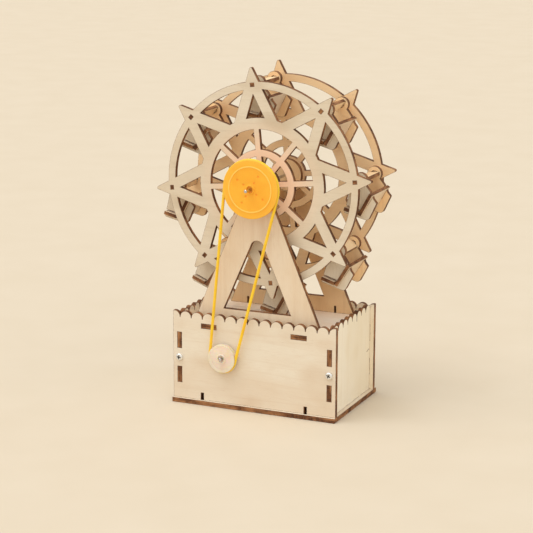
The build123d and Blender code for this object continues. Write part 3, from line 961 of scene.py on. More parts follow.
@dataclass
class CutSheet:
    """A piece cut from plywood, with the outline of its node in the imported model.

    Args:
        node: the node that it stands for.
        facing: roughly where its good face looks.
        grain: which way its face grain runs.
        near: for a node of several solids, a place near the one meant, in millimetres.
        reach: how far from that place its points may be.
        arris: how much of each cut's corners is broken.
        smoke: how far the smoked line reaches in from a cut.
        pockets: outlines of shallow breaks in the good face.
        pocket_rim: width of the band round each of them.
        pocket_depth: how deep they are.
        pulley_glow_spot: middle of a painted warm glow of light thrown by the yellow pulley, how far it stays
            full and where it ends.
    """

    node: str
    facing: Vector
    grain: Vector
    near: Vector | None = None
    reach: float = 30.0
    arris: float = 0.07
    smoke: float = 0.34
    pockets: Sequence[Sequence[Vector]] = ()
    pocket_rim: float = 0.1
    pocket_depth: float = 0.5
    # painted light: where the warm glow from the yellow pulley lies, if anywhere
    pulley_glow_spot: tuple[Vector, float, float] | None = None

    def pulley_glow_at(self, place: Vector) -> float:
        """Find how much painted warm light from the yellow pulley falls on the veneer at a place.

        Args:
            place: the place.

        Returns:
            1 near the glow's middle, 0 past its end.
        """
        if self.pulley_glow_spot is None:
            return 0.0
        middle, full, none = self.pulley_glow_spot
        away = math.hypot(place.x - middle.x, place.z - middle.z)
        return min(1.0, max(0.0, (none - away) / (none - full)))

    def triangles(self) -> tuple[np.ndarray, np.ndarray]:
        """Read the node's triangles, for the solid meant.

        Returns:
            The point numbers of each triangle, and the places of all points in millimetres.
        """
        mesh = frame["nodes"][self.node].data
        mesh.calc_loop_triangles()
        places = np.zeros(len(mesh.vertices) * 3)
        mesh.vertices.foreach_get("co", places)
        places = places.reshape(-1, 3) / MM
        corners = np.zeros(len(mesh.loop_triangles) * 3, np.int32)
        mesh.loop_triangles.foreach_get("vertices", corners)
        corners = corners.reshape(-1, 3)
        keys, merged = np.unique(np.round(places * 1000).astype(np.int64), axis=0, return_inverse=True)
        corners = merged.reshape(-1)[corners]
        places = keys / 1000.0
        if self.near is not None:
            middles = places[corners].mean(axis=1)
            corners = corners[np.linalg.norm(middles - np.array(self.near), axis=1) < self.reach]
        return corners, places

    def outline(self) -> tuple[Bench, float, list[list[Vector]]]:
        """Read the sheet's bench, thickness and loops from the node.

        Returns:
            The bench with its origin in the middle of the sheet's thickness, the thickness,
            and the loops with the material on their left.
        """
        corners, places = self.triangles()
        first, second, third = (places[corners[:, k]] for k in range(3))
        cross = np.cross(second - first, third - first)
        area = np.linalg.norm(cross, axis=1)
        normal = cross / np.maximum(area, 1e-12)[:, None]
        ahead = normal @ np.array(self.facing) > 0.7
        weight: dict[tuple[float, ...], float] = {}
        for direction, size in zip(np.round(normal[ahead], 3), area[ahead]):
            weight[tuple(direction)] = weight.get(tuple(direction), 0.0) + size
        rough = np.array(max(weight, key=weight.get))
        same = normal @ (rough / np.linalg.norm(rough)) > 0.9995
        face = (normal[same] * area[same][:, None]).sum(axis=0)
        face /= np.linalg.norm(face)
        depth = places[corners.reshape(-1)] @ face
        top, bottom = depth.max(), depth.min()
        front = same & (places[corners[:, 0]] @ face > top - 0.01)
        bench = Bench.on(Vector(face), self.grain, Vector(face) * ((top + bottom) / 2))
        loops = [[bench.flat(Vector(places[n])) for n in loop] for loop in border(corners[front])]
        return bench, float(top - bottom), loops

    def add_to(self, draft: Draft) -> None:
        """Cut the sheet into a draft.

        Args:
            draft: where its points and faces go.
        """
        bench, thickness, loops = self.outline()
        half = thickness / 2
        levels = (
            (self.smoke, half, 0.0),
            (self.arris, half, 1.0),
            (0.0, half - self.arris, 1.0),
            (0.0, self.arris - half, 1.0),
            (self.arris, -half, 1.0),
            (self.smoke, -half, 0.0),
        )
        layers = (Layer.FACE, Layer.CUT, Layer.CUT, Layer.CUT, Layer.FACE)
        seed = zlib.crc32(f"{self.node} {self.near}".encode())
        shift = Vector((seed % 977, seed // 977 % 991, 0.0))

        def cut(flats: list[Vector], depth: float, burnt: float) -> list[int]:
            """Add a row of points with their coordinates in the sheet.

            Args:
                flats: where they are on the bench.
                depth: how far out of the sheet's middle.
                burnt: how burnt they are, 0 to 1.

            Returns:
                The points' numbers.
            """
            wood = [Vector((f.x, f.y, half - depth)) + shift for f in flats]
            placed = [bench.place(f, depth) for f in flats]
            return draft.row(placed, burnt, wood, [self.pulley_glow_at(p) for p in placed])

        fronts, backs = [], []
        for loop in loops:
            made = [cut(inset(loop, amount), depth, burnt) for amount, depth, burnt in levels]
            draft.strips(made, layers)
            fronts.append(made[0])
            backs.append(made[-1])
        for pocket in self.pockets:
            edge = [bench.flat(p) for p in pocket]
            made = [
                cut(inset(edge, self.pocket_rim), half, 0.0),
                cut(edge, half, 1.0),
                cut(edge, half - self.pocket_depth, 1.0),
            ]
            draft.strips(made, (Layer.FACE, Layer.CUT))
            draft.fill([made[-1]], bench, Layer.CUT)
            fronts.append(made[0])
        draft.fill(fronts, bench, Layer.FACE)
        draft.fill(backs, bench, Layer.FACE, away=True)


# ---------------------------------------------------------------- the toy's parts


@dataclass
class Maker:
    """Something that makes one group of pieces.

    Args:
        finishes: the toy's materials.
    """

    finishes: Finishes

    def dress(self, draft: Draft, name: str, node: str, veneer: Veneer, ply: float) -> None:
        """Make a piece of plywood that stands for its node.

        Args:
            draft: the cut wood.
            name: the piece's name.
            node: the node.
            veneer: its face veneer.
            ply: its thickness.
        """
        materials = [self.finishes.of(veneer.value), self.finishes.of(LaserCut(ply))]
        draft.finish(name, body_of(node), Slot.PLYWOOD, materials, [node])

    def cut(self, sheet: CutSheet, veneer: Veneer, ply: float = SHEET_PLY) -> None:
        """Cut a sheet as a piece of its own.

        Args:
            sheet: the sheet.
            veneer: its face veneer.
            ply: its thickness.
        """
        draft = Draft()
        sheet.add_to(draft)
        self.dress(draft, f"{sheet.node}_ply", sheet.node, veneer, ply)

    def rod(self, node: str, radius: float, ends: Point, centre: Point, bevel: float = 0.25) -> None:
        """Turn a steel rod along Y with bevelled ends.

        Args:
            node: the node that it stands for.
            radius: its radius.
            ends: y of its front and back end.
            centre: x and z of its axis.
            bevel: the bevel's width.
        """
        front, back = ends
        profile = [(0.0, front), (radius - bevel, front), (radius, front + bevel)]
        profile += [(radius, back - bevel), (radius - bevel, back), (0.0, back)]
        draft = Draft()
        draft.turn(profile, centre, steps=40, closed=False)
        steel = [self.finishes.of(SHAFT_STEEL)]
        draft.finish(f"{node}_steel", body_of(node), Slot.SHAFT, steel, [node], crease=25.0)

    def rings(self, node: str, edge: float, centre: Point) -> None:
        """Mould plastic rings along Y where a node's solids are.

        Args:
            node: the node.
            edge: radius of their rounded edges.
            centre: x and z of their axis.
        """
        places = np.array([v.co for v in frame["nodes"][node].data.vertices]) / MM
        radii = np.hypot(places[:, 0] - centre[0], places[:, 2] - centre[1])
        outer, inner = float(radii.max()), float(radii.min())
        stops = sorted(set(np.round(places[:, 1], 3)))
        draft = Draft()
        for front, back in zip(stops[::2], stops[1::2]):
            corners = [(inner, front, edge / 2), (outer, front, edge)]
            corners += [(outer, back, edge), (inner, back, edge / 2)]
            draft.turn(rounded(corners), centre, steps=48)
        draft.finish(f"{node}_nylon", body_of(node), Slot.MILKY, [self.finishes.of(MILKY)], [node])


@dataclass
class Box(Maker):
    """Base plate, four scalloped walls, deck and the screws that hold the walls."""

    screw_z: float = 30.2
    screw_x: float = 52.1
    wall_y: float = 35.0
    head_radius: float = 2.4
    head_height: float = 1.6
    head_round: float = 0.9
    head_edge: float = 0.05
    shank_radius: float = 1.0
    shank_length: float = 12.0
    tip_length: float = 2.0
    tip_radius: float = 0.2
    cross_length: float = 2.8
    cross_width: float = 0.6
    cross_in: float = 0.94
    cross_turn: float = 28.0
    cross_turn_by_x: float = 0.7
    # (share of the outline, depth, shade) of each row of the cross recess; the shade paints shade into the
    # recess
    cross_levels: tuple[Triple, ...] = ((1.0, 0.0, 0.35), (0.96, 0.15, 1.0), (0.8, 0.9, 1.0))
    split: tuple[Point, ...] = (
        (26.3, 30.05), (27.6, 30.2), (28.6, 30.55), (29.8, 30.6), (31.2, 30.95),
        (31.25, 30.75), (29.9, 30.3), (28.8, 30.2), (27.8, 29.85), (26.4, 29.85),
    )

    def walls(self) -> None:
        """Cut the base, the walls and the deck."""
        end_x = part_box("right_side_panel")[1].x / MM
        split = [Vector((end_x, y, z)) for y, z in self.split]
        for node, facing, grain, veneer, pockets in (
            ("base_plate", Facing.UP, Grain.ACROSS, Veneer.PALE, ()),
            ("front_panel", Facing.FRONT, Grain.ACROSS, Veneer.PALE, ()),
            ("back_panel", Facing.BACK, Grain.ACROSS, Veneer.CREAM, ()),
            ("left_side_panel", Facing.LEFT, Grain.UPRIGHT, Veneer.CREAM, ()),
            ("right_side_panel", Facing.RIGHT, Grain.UPRIGHT, Veneer.CREAM, (split,)),
            ("deck_plate", Facing.UP, Grain.ACROSS, Veneer.ROSY_LIT, ()),
        ):
            self.cut(CutSheet(node, facing.way, grain.way, pockets=pockets), veneer)

    def cross(self, x: float) -> list[Vector]:
        """Lay out the recess of one screw's head.

        Args:
            x: the screw's x, which sets how far it was driven round.

        Returns:
            The recess's outline.
        """
        long, thin = self.cross_length / 2, self.cross_width / 2
        quarter = [(long, thin), (long, -thin), (thin, -thin)]
        flat_radius = self.head_radius - self.head_round
        share = min(flat_radius / math.hypot(long, thin) * self.cross_in, 1.0)
        turn = self.cross_turn + self.cross_turn_by_x * x
        return [
            Matrix.Rotation(math.radians(turn - 90 * k), 2) @ Vector(corner) * share
            for k in range(4)
            for corner in quarter
        ]

    def screw(self, draft: Draft, x: float, side: int) -> None:
        """Turn a cross-headed screw: rounded head, recess, shank and point.

        Args:
            draft: where its points and faces go.
            x: its place across the wall.
            side: -1 in the front wall, 1 in the back wall.
        """
        seat = Vector((x, side * self.wall_y, self.screw_z))
        bench = Bench.on(Vector((0, side, 0)), Vector((1, 0, 0)), seat)
        flat_radius, top = self.head_radius - self.head_round, self.head_height
        profile = [(flat_radius, top)]
        profile += arc((flat_radius, top - self.head_round), self.head_round, math.radians(75), 0.0, 5)
        profile += [(self.head_radius, self.head_edge), (self.head_radius - self.head_edge, 0.0)]
        profile += [(self.shank_radius, 0.0), (self.shank_radius, self.tip_length - self.shank_length)]
        profile += [(self.tip_radius, -self.shank_length), (0.0, -self.shank_length)]
        rim = draft.turn(profile, (0, 0), steps=40, closed=False, bench=bench)[0]
        rows = [
            draft.row([bench.place(p * share, top - depth) for p in self.cross(x)], shade)
            for share, depth, shade in self.cross_levels
        ]
        draft.fill([rim, rows[0]], bench)
        draft.strips(rows)
        draft.fill([rows[-1]], bench)

    def build(self) -> None:
        """Make the box."""
        self.walls()
        draft = Draft()
        for side in (-1, 1):
            for x in (-self.screw_x, self.screw_x):
                self.screw(draft, x, side)
        steel = [self.finishes.of(PLATED_STEEL)]
        draft.finish("panel_screws_plated", "stand", Slot.PLATED, steel, ["panel_screws"])


@dataclass
class WheelStand(Maker):
    """The two A-shaped frames that carry the axle."""

    def build(self) -> None:
        """Make both frames."""
        self.cut(CutSheet("front_a_frame", Facing.FRONT.way, Grain.UPRIGHT.way), Veneer.PEACH)
        self.cut(CutSheet("rear_a_frame", Facing.BACK.way, Grain.UPRIGHT.way), Veneer.TAN_BOUNCE_LIT)


@dataclass
class BigWheel(Maker):
    """Two star-shaped plates, their hub discs, eight crossbars, the axle and its rings."""

    axle_z: float = 145.1
    turn: float = 5.86
    arms: int = 8
    crossbar_radius: float = 63.0
    axle_radius: float = 1.0
    axle_ends: Point = (-47.3, 34.15)
    broad_side_out: tuple[int, ...] = (0, 6, 7)
    # full and end radius of the painted warm glow of light from the yellow pulley
    pulley_glow_reach: Point = (26.0, 38.0)
    ring_edges: tuple[tuple[str, float], ...] = (("axle_spacers", 0.2), ("axle_sleeve", 0.25))

    def crossbars(self) -> None:
        """Cut the eight crossbars as one piece, for the node's eight solids."""
        draft = Draft()
        for k in range(self.arms):
            angle = math.radians(90 + self.turn - 360 / self.arms * k)
            out = Vector((math.cos(angle), 0, math.sin(angle)))
            middle = out * self.crossbar_radius + Vector((0, 0, self.axle_z))
            broad = out if k in self.broad_side_out else Vector((-out.z, 0, out.x))
            CutSheet("wheel_crossbars", broad, Grain.DEEP.way, near=middle).add_to(draft)
        self.dress(draft, "wheel_crossbars_ply", "wheel_crossbars", Veneer.TAN_BOUNCE_LIT, THIN_PLY)

    def build(self) -> None:
        """Make the wheel."""
        # painted light: warm glow from the yellow pulley round the front wheel plate's hub
        warm = (Vector((0.0, 0.0, self.axle_z)), *self.pulley_glow_reach)
        for node, facing, grain, veneer, spot in (
            ("front_wheel_plate", Facing.FRONT, Grain.ACROSS, Veneer.GREY, warm),
            ("rear_wheel_plate", Facing.BACK, Grain.ACROSS, Veneer.TAN_BOUNCE_LIT, None),
            ("front_hub_disc", Facing.FRONT, Grain.UPRIGHT, Veneer.PEACH, None),
            ("rear_hub_disc", Facing.BACK, Grain.UPRIGHT, Veneer.TAN_BOUNCE_LIT, None),
        ):
            self.cut(CutSheet(node, facing.way, grain.way, pulley_glow_spot=spot), veneer)
        self.crossbars()
        centre = (0.0, self.axle_z)
        self.rod("axle", self.axle_radius, self.axle_ends, centre)
        for node, edge in self.ring_edges:
            self.rings(node, edge, centre)


@dataclass
class Drive(Maker):
    """The two grooved pulleys and the round belt between them."""

    wheel_centre: Point = (0.0, 145.1)
    shaft_centre: Point = (-20.1, 33.75)
    belt_y: float = -38.3
    belt_radius: float = 0.95
    belt_sides: int = 20
    mould_line: float = 1.012
    groove_radius: float = 1.25
    large_line: float = 18.2
    small_line: float = 8.9
    thickness: float = 3.8
    large_radius: float = 18.6
    small_radius: float = 9.2
    recess_radius: float = 2.2
    recess_depth: float = 1.2
    collar_radius: float = 3.1
    collar_height: float = 0.5
    boss_radius: float = 4.0
    bore_radius: float = 1.02
    large_boss_back: float = -29.6
    small_boss_back: float = -36.2
    small_face: Point = (6.6, 7.0)
    small_face_in: float = 0.12
    flat_from: float = 0.5
    ring_radius: float = 14.3
    ring_width: float = 0.8
    ring_height: float = 0.3
    ring_edge: float = 0.12
    ring_foot: float = 0.4
    dimple_circles: Point = (5.2, 10.2)
    dimple_radius: float = 0.6
    dimple_angle: float = 57.0
    # (grow, depth, shade) of each ring of a dimple; the shade paints shade into the dimple
    dimple_levels: tuple[Triple, ...] = (
        (0.3, 0.0, 0.0), (0.04, -0.05, 0.4), (0.0, -0.14, 0.5), (0.0, -0.4, 0.5),
    )

    @property
    def front(self) -> float:
        """Y of the pulleys' front faces."""
        return self.belt_y - self.thickness / 2

    def groove(self, rim: float, line: float) -> list[Triple]:
        """Lay out the groove, from its front lip to its back lip.

        Args:
            rim: the pulley's radius.
            line: radius of the belt's middle line.

        Returns:
            Its corners for rounding.
        """
        lip = math.asin((rim - line) / self.groove_radius)
        points = arc((line, self.belt_y), self.groove_radius, 1.5 * math.pi - lip, 0.5 * math.pi + lip, 12)
        lips = [(rim, points[0][1], self.ring_edge), (rim, points[-1][1], self.ring_edge)]
        return [lips[0], *((across, along, 0.0) for across, along in points), lips[1]]

    def disc_profile(self, rim: float, line: float, boss_back: float, face: Sequence[Triple]) -> list[Point]:
        """Lay out a pulley, from its face's outer part, round the back, to its collar.

        Args:
            rim: its radius.
            line: radius of the belt's middle line.
            boss_back: y of its boss's back end.
            face: corners of its face's outer part.

        Returns:
            The rounded profile.
        """
        back = self.belt_y + self.thickness / 2
        nose = self.front - self.collar_height
        floor = nose + self.recess_depth
        corners = [
            *face,
            (rim, self.front, 0.35),
            *self.groove(rim, line),
            (rim, back, 0.35),
            (self.boss_radius, back, 0.1),
            (self.boss_radius, boss_back, 0.1),
            (self.bore_radius, boss_back, 0.05),
            (self.bore_radius, floor, 0.05),
            (self.recess_radius, floor, 0.15),
            (self.recess_radius, nose, 0.15),
            (self.collar_radius, nose, 0.22),
            (self.collar_radius, self.front, 0.12),
        ]
        return rounded(corners)

    def shade_of(self, radius: float, along: float) -> float:
        """Find the shade of a pulley's surface.

        Args:
            radius: how far from the axis.
            along: y there.

        Returns:
            Over 0 in the recess and the groove, for painted shade there; under 0 on the raised ring and the
            rim, for a painted highlight there.
        """
        nose = self.front - self.collar_height
        if radius < self.recess_radius + 0.05:
            return 0.45 if nose + 0.25 < along < self.front + self.thickness else 0.0
        if along < self.front - self.ring_height / 2 and radius > self.collar_radius + 1.0:
            return -1.0
        if radius > self.small_line - 1.5 and abs(along - self.belt_y) < self.groove_radius - 0.1:
            return 0.5
        return -0.15 if radius > self.ring_radius + 1.0 else 0.0

    def dimples(self, draft: Draft, bench: Bench) -> list[list[int]]:
        """Press the dimples into the large pulley's face.

        Args:
            draft: where their points and faces go.
            bench: the face's flat coordinates.

        Returns:
            The row of points round each.
        """
        rims = []
        for radius in self.dimple_circles:
            for quarter in range(4):
                angle = math.radians(self.dimple_angle + 90 * quarter)
                middle = (radius * math.cos(angle), radius * math.sin(angle))
                rows = []
                for grow, depth, shade in self.dimple_levels:
                    ring = circle(middle, self.dimple_radius + grow, 20, hole=True)
                    rows.append(draft.row([bench.place(p, depth) for p in ring], shade))
                draft.strips(rows)
                draft.fill([rows[-1]], bench)
                rims.append(rows[0])
        return rims

    def large_pulley(self) -> None:
        """Mould the large pulley: raised ring, dimples, collar, groove and boss."""
        inner, outer = self.ring_radius - self.ring_width / 2, self.ring_radius + self.ring_width / 2
        raised, edge = self.front - self.ring_height, self.ring_edge
        face = [
            (inner - self.ring_foot, self.front, 0.0),
            (inner, self.front, edge),
            (inner, raised, edge),
            (outer, raised, edge),
            (outer, self.front, edge),
        ]
        profile = self.disc_profile(self.large_radius, self.large_line, self.large_boss_back, face)
        profile.append((self.collar_radius + self.flat_from, self.front))
        draft = Draft()
        rows = draft.turn(profile, self.wheel_centre, steps=128, closed=False, shade=self.shade_of)
        middle = Vector((self.wheel_centre[0], self.front, self.wheel_centre[1]))
        bench = Bench.on(Vector((0, -1, 0)), Vector((1, 0, 0)), middle)
        draft.fill([rows[0], rows[-1], *self.dimples(draft, bench)], bench)
        yellow = [self.finishes.of(YELLOW)]
        draft.finish("large_pulley_moulding", "wheel", Slot.YELLOW, yellow, ["large_pulley"], crease=38.0)

    def small_pulley(self) -> None:
        """Mould the small pulley on the crank's shaft."""
        inner, outer = self.small_face
        face = [(inner, self.front, 0.0), (outer, self.front + self.small_face_in, 0.1)]
        profile = self.disc_profile(self.small_radius, self.small_line, self.small_boss_back, face)
        draft = Draft()
        draft.turn(profile, self.shaft_centre, steps=96, shade=self.shade_of)
        milky = [self.finishes.of(MILKY)]
        draft.finish("small_pulley_moulding", "crank", Slot.MILKY, milky, ["small_pulley"], crease=38.0)

    def belt_path(self) -> list[Point]:
        """Lay out the belt's line: two arcs, and the straight runs that touch them.

        Returns:
            X and Z of its points.
        """
        across, down = (there - here for here, there in zip(self.wheel_centre, self.shaft_centre))
        line = math.atan2(down, across)
        opening = math.acos((self.large_line - self.small_line) / math.hypot(across, down))
        path = []
        for centre, radius, start, end in (
            (self.wheel_centre, self.large_line, line + opening, line - opening + math.tau),
            (self.shaft_centre, self.small_line, line - opening, line + opening),
        ):
            path += arc(centre, radius, start, end, round(abs(end - start) / math.radians(3)))
        return path

    def belt(self) -> None:
        """Mould the belt: a round cord with a fine mould line on both sides."""
        path = self.belt_path()
        draft = Draft()
        rows = []
        for index, (x, z) in enumerate(path):
            before, after = path[index - 1], path[(index + 1) % len(path)]
            along = Vector((after[0] - before[0], 0, after[1] - before[1])).normalized()
            out = along.cross(Vector((0, 1, 0)))
            ring = circle((0.0, 0.0), self.belt_radius, self.belt_sides)
            for k in (0, self.belt_sides // 2):
                ring[k] *= self.mould_line
            rows.append(draft.row([Vector((x, self.belt_y + p.y, z)) + out * p.x for p in ring]))
        draft.strips(rows, closed=True)
        rubber = [self.finishes.of(RUBBER)]
        draft.finish("drive_belt_rubber", "stand", Slot.BELT, rubber, ["drive_belt"], crease=60.0)

    def build(self) -> None:
        """Make the drive."""
        self.large_pulley()
        self.small_pulley()
        self.belt()


@dataclass
class Crank(Maker):
    """Shaft in two flanged bushes, arm, pin and the turned knob."""

    shaft_centre: Point = (-20.1, 33.75)
    reach: float = 20.0
    shaft_ends: Point = (-42.3, 40.4)
    shaft_radius: float = 1.0
    wall_y: float = 35.0
    bush_radius: float = 2.4
    flange_radius: float = 3.6
    flange: float = 0.8
    bush_bore: float = 1.08
    arm_ends: Point = (36.2, 39.2)
    arm_round: float = 0.55
    hole_round: float = 0.12
    hole_span: float = 8.0
    boss_back: float = 40.4
    boss_bore: float = 1.02
    boss_sink: float = 0.2
    arm_end: float = 3.8
    pin_radius: float = 1.3
    pin_head_radius: float = 2.5
    pin_ends: Triple = (36.2, 53.3, 54.5)
    pin_bevel: float = 0.2
    pin_head_edge: float = 0.08
    pin_head_side: float = 0.5
    knob_ends: Point = (39.5, 53.0)
    knob_radius: float = 4.6
    knob_bore: float = 1.38
    knob_bevel: float = 0.25
    knob_edge: float = 1.15
    knob_waist: float = 0.28
    knob_ring_in: float = 2.6
    knob_ring_depth: float = 0.16
    knob_ring_half: float = 0.3

    @property
    def pin_centre(self) -> Point:
        """X and Z of the pin, which hangs below the shaft."""
        return self.shaft_centre[0], self.shaft_centre[1] - self.reach

    def bushes(self) -> None:
        """Mould a flanged bush in each wall."""
        for node, side in (("front_shaft_bush", -1), ("rear_shaft_bush", 1)):
            face, inside = side * self.wall_y, side * (self.wall_y - SHEET_PLY)
            outer = side * (self.wall_y + self.flange)
            corners = [
                (self.bush_bore, outer, 0.15),
                (self.flange_radius, outer, 0.25),
                (self.flange_radius, face, 0.05),
                (self.bush_radius, face, 0.0),
                (self.bush_radius, inside, 0.2),
                (self.bush_bore, inside, 0.1),
            ]
            draft = Draft()
            draft.turn(rounded(corners), self.shaft_centre)
            draft.finish(f"{node}_nylon", "stand", Slot.MILKY, [self.finishes.of(MILKY)], [node])

    def arm(self) -> None:
        """Mould the crank arm: rounded bar and the boss that grips the shaft."""
        found, _, loops = CutSheet("crank_arm", Facing.FRONT.way, Grain.UPRIGHT.way).outline()
        bench = Bench(Vector((0, 0, 0)), found.u, found.v, found.w)
        draft = Draft()
        fronts, backs = [], []
        for loop in loops:
            soft = self.arm_round if span_of(loop) > self.hole_span else self.hole_round
            rows = []
            for end, inward in zip(self.arm_ends, (1, -1)):
                for quarter in range(5)[::inward]:
                    angle = math.radians(22.5 * quarter)
                    depth = end + inward * soft * (1 - math.cos(angle))
                    edge = inset(loop, soft * (1 - math.sin(angle)))
                    rows.append(draft.row([bench.place(p, -depth) for p in edge]))
            draft.strips(rows)
            fronts.append(rows[0])
            backs.append(rows[-1])
        draft.fill(fronts, bench)
        draft.fill(backs, bench, away=True)
        seat = self.arm_ends[1] - self.boss_sink
        corners = [
            (self.boss_bore, seat, 0.0),
            (self.arm_end, seat, 0.0),
            (self.arm_end, self.boss_back, 0.3),
            (self.boss_bore, self.boss_back, 0.12),
        ]
        draft.turn(rounded(corners), self.shaft_centre)
        draft.finish("crank_arm_moulding", "crank", Slot.YELLOW, [self.finishes.of(YELLOW)], ["crank_arm"])

    def pin(self) -> None:
        """Turn the pin: plain shank and a low domed head."""
        start, seat, end = self.pin_ends
        head, side = self.pin_head_radius, seat + self.pin_head_side
        profile = [(0.0, start), (self.pin_radius - self.pin_bevel, start)]
        profile += [(self.pin_radius, start + self.pin_bevel), (self.pin_radius, seat)]
        profile += [(head - self.pin_head_edge, seat), (head, seat + self.pin_head_edge)]
        for step in range(7):
            angle = math.radians(13 * step)
            profile.append((head * math.cos(angle) ** 0.5, side + (end - side) * math.sin(angle)))
        profile.append((0.0, end))
        draft = Draft()
        draft.turn(profile, self.pin_centre, steps=48, closed=False)
        steel = [self.finishes.of(PLATED_STEEL)]
        draft.finish("crank_pin_plated", "crank", Slot.PLATED, steel, ["crank_pin"])

    def knob(self) -> None:
        """Turn the knob: a slightly waisted barrel with two fine rings cut in it."""
        start, end = self.knob_ends
        edge, radius, bore = self.knob_edge, self.knob_radius, self.knob_bore
        cuts = (start + self.knob_ring_in, end - self.knob_ring_in)
        profile = [(bore, start + self.knob_bevel), (bore + self.knob_bevel, start)]
        profile += arc((radius - edge, start + edge), edge, -math.pi / 2, 0.0, 6)
        for step in range(1, 40):
            t = step / 40
            along = start + edge + (end - start - 2 * edge) * t
            waist = self.knob_waist * math.sin(math.pi * t) ** 2
            depth = sum(max(0.0, 1 - abs(along - cut) / self.knob_ring_half) for cut in cuts)
            profile.append((radius - waist - self.knob_ring_depth * depth, along))
        profile += arc((radius - edge, end - edge), edge, 0.0, math.pi / 2, 6)
        profile += [(bore + self.knob_bevel, end), (bore, end - self.knob_bevel)]
        draft = Draft()
        draft.turn(profile, self.pin_centre, steps=72)
        beech = [self.finishes.of(BEECH)]
        draft.finish("crank_knob_turned", "knob", Slot.TURNED_WOOD, beech, ["crank_knob"], crease=40.0)

    def build(self) -> None:
        """Make the crank."""
        self.rod("crank_shaft", self.shaft_radius, self.shaft_ends, self.shaft_centre)
        self.bushes()
        self.arm()
        self.pin()
        self.knob()


def span_of(loop: list[Vector]) -> float:
    """Widest distance between a loop's points along u or v."""
    return max(max(p[k] for p in loop) - min(p[k] for p in loop) for k in (0, 1))


@dataclass
class Car(Maker):
    """One hanging car: two side plates, a seat board and a leaning backrest.

    Args:
        number: which car, 1 at the top, then clockwise.
    """

    number: int

    def build(self) -> None:
        """Make the car's four pieces."""
        for part, facing, grain, veneer, ply in (
            ("front_side", Facing.FRONT, Grain.UPRIGHT, Veneer.GREY, SHEET_PLY),
            ("rear_side", Facing.BACK, Grain.UPRIGHT, Veneer.TAN_BOUNCE_LIT, SHEET_PLY),
            ("seat", Facing.UP, Grain.DEEP, Veneer.PEACH, THIN_PLY),
            ("back", Facing.RIGHT, Grain.DEEP, Veneer.PEACH, THIN_PLY),
        ):
            self.cut(CutSheet(f"car_{self.number}_{part}", facing.way, grain.way), veneer, ply)


# ---------------------------------------------------------------- studio


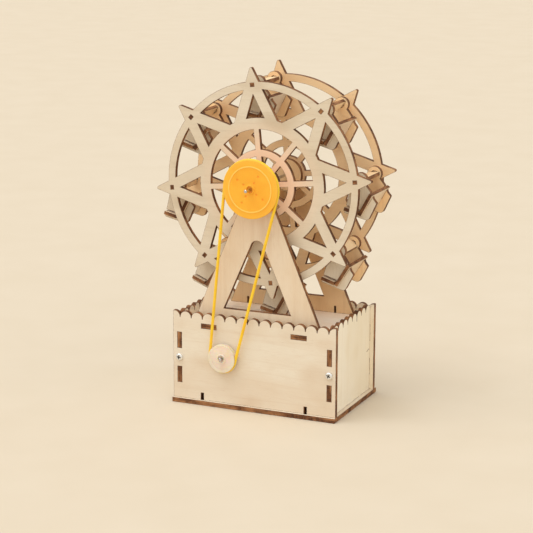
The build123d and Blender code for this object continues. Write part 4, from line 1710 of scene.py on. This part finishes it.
@dataclass
class Studio(Maker):
    """Pale floor, soft lights and the camera.

    Args:
        azimuth: the camera's compass angle in degrees, 0 in front, positive to the toy's right.
        elevation: its height above the floor in degrees.
        roll: its turn about its own line of sight in degrees.
        distance: how far it stands from its target, in millimetres.
        focal_pixels: its focal length in the picture's pixels.
        picture_side: the picture's width and height in pixels.
        target: where it looks, in millimetres.
        floor_radius: the floor's radius in metres.
        floor_z: the floor's height in metres, just under the base plate.
        sky: colour of the light all round.
        sky_strength: its strength.
        lamp: colour of the three lights.
        lamps: name, side, height, spread and power of each light.
    """

    azimuth: float = 23.857
    elevation: float = 13.339
    roll: float = 0.155
    distance: float = 1159.155
    focal_pixels: float = 1791.593
    picture_side: int = 533
    target: Triple = (-6.4, 0.0, 87.058)
    floor_radius: float = 14.0
    floor_z: float = -0.00005
    sky: Colour = tone(250, 248, 242)
    sky_strength: float = 0.7
    lamp: Colour = (1.0, 0.985, 0.96)
    lamps: tuple[tuple[str, float, float, float, float], ...] = (
        ("top_light", -50.0, 70.0, 50.0, 1.5),
        ("key_light", -30.0, 34.0, 70.0, 0.35),
        ("fill_light", 60.0, 30.0, 90.0, 0.6),
    )

    def towards(self, side: float, height: float) -> Vector:
        """Direction of a compass angle and a height above the floor, in degrees."""
        round_, up = math.radians(side), math.radians(height)
        return Vector((math.sin(round_) * math.cos(up), -math.cos(round_) * math.cos(up), math.sin(up)))

    def camera(self) -> None:
        """Put the camera where the photograph was taken from."""
        back = self.towards(self.azimuth, self.elevation)
        data = bpy.data.cameras.new("studio_camera")
        data.sensor_width = 36.0
        data.lens = self.focal_pixels / self.picture_side * data.sensor_width
        data.clip_start, data.clip_end = 0.05, 60.0
        made = bpy.data.objects.new("studio_camera", data)
        bpy.context.scene.collection.objects.link(made)
        turn = (-back).to_track_quat("-Z", "Y").to_matrix()
        turn = turn @ Matrix.Rotation(math.radians(self.roll), 3, "Z")
        place = (Vector(self.target) + back * self.distance) * MM
        made.matrix_world = Matrix.Translation(place) @ turn.to_4x4()
        bpy.context.scene.camera = made

    def floor(self) -> None:
        """Lay the floor."""
        rim = circle((0.0, 0.0), self.floor_radius, 96)
        places = [(0.0, 0.0, self.floor_z), *((p.x, p.y, self.floor_z) for p in rim)]
        faces = [(0, k + 1, (k + 1) % len(rim) + 1) for k in range(len(rim))]
        mesh = bpy.data.meshes.new("studio_floor")
        mesh.from_pydata(places, [], faces)
        mesh.materials.append(self.finishes.of(StudioPaper()))
        made = bpy.data.objects.new("studio_floor", mesh)
        bpy.context.scene.collection.objects.link(made)

    def light(self, name: str, side: float, height: float, spread: float, power: float) -> None:
        """Hang one broad, distant, soft light.

        Args:
            name: the light's name.
            side: its compass angle in degrees, 0 in front of the toy, positive to its right.
            height: its angle above the floor in degrees.
            spread: its apparent width in degrees; wider is softer.
            power: its strength.
        """
        data = bpy.data.lights.new(name, "SUN")
        data.angle = math.radians(spread)
        data.energy = power
        data.color = self.lamp
        made = bpy.data.objects.new(name, data)
        made.location = self.towards(side, height)
        made.rotation_mode = "QUATERNION"
        made.rotation_quaternion = made.location.to_track_quat("Z", "Y")
        bpy.context.scene.collection.objects.link(made)

    def build(self) -> None:
        """Make the studio."""
        self.camera()
        self.floor()
        world = bpy.data.worlds.new("studio_air")
        world.use_nodes = True
        ground = world.node_tree.nodes["Background"]
        ground.inputs["Color"].default_value = (*self.sky, 1.0)
        ground.inputs["Strength"].default_value = self.sky_strength
        bpy.context.scene.world = world
        for lamp in self.lamps:
            self.light(*lamp)
        bpy.context.scene.view_settings.view_transform = "Standard"


def main() -> None:
    """Build the toy's sub-assemblies in order, then the studio."""
    logging.basicConfig(level=logging.INFO, format="%(name)s %(message)s")
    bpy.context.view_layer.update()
    finishes = Finishes()
    wheel = BigWheel(finishes)
    cars = [Car(finishes, number + 1) for number in range(wheel.arms)]
    for maker in (
        Box(finishes), WheelStand(finishes), wheel, Drive(finishes), Crank(finishes), *cars, Studio(finishes),
    ):
        maker.build()
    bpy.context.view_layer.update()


if __name__ == "__main__":
    main()
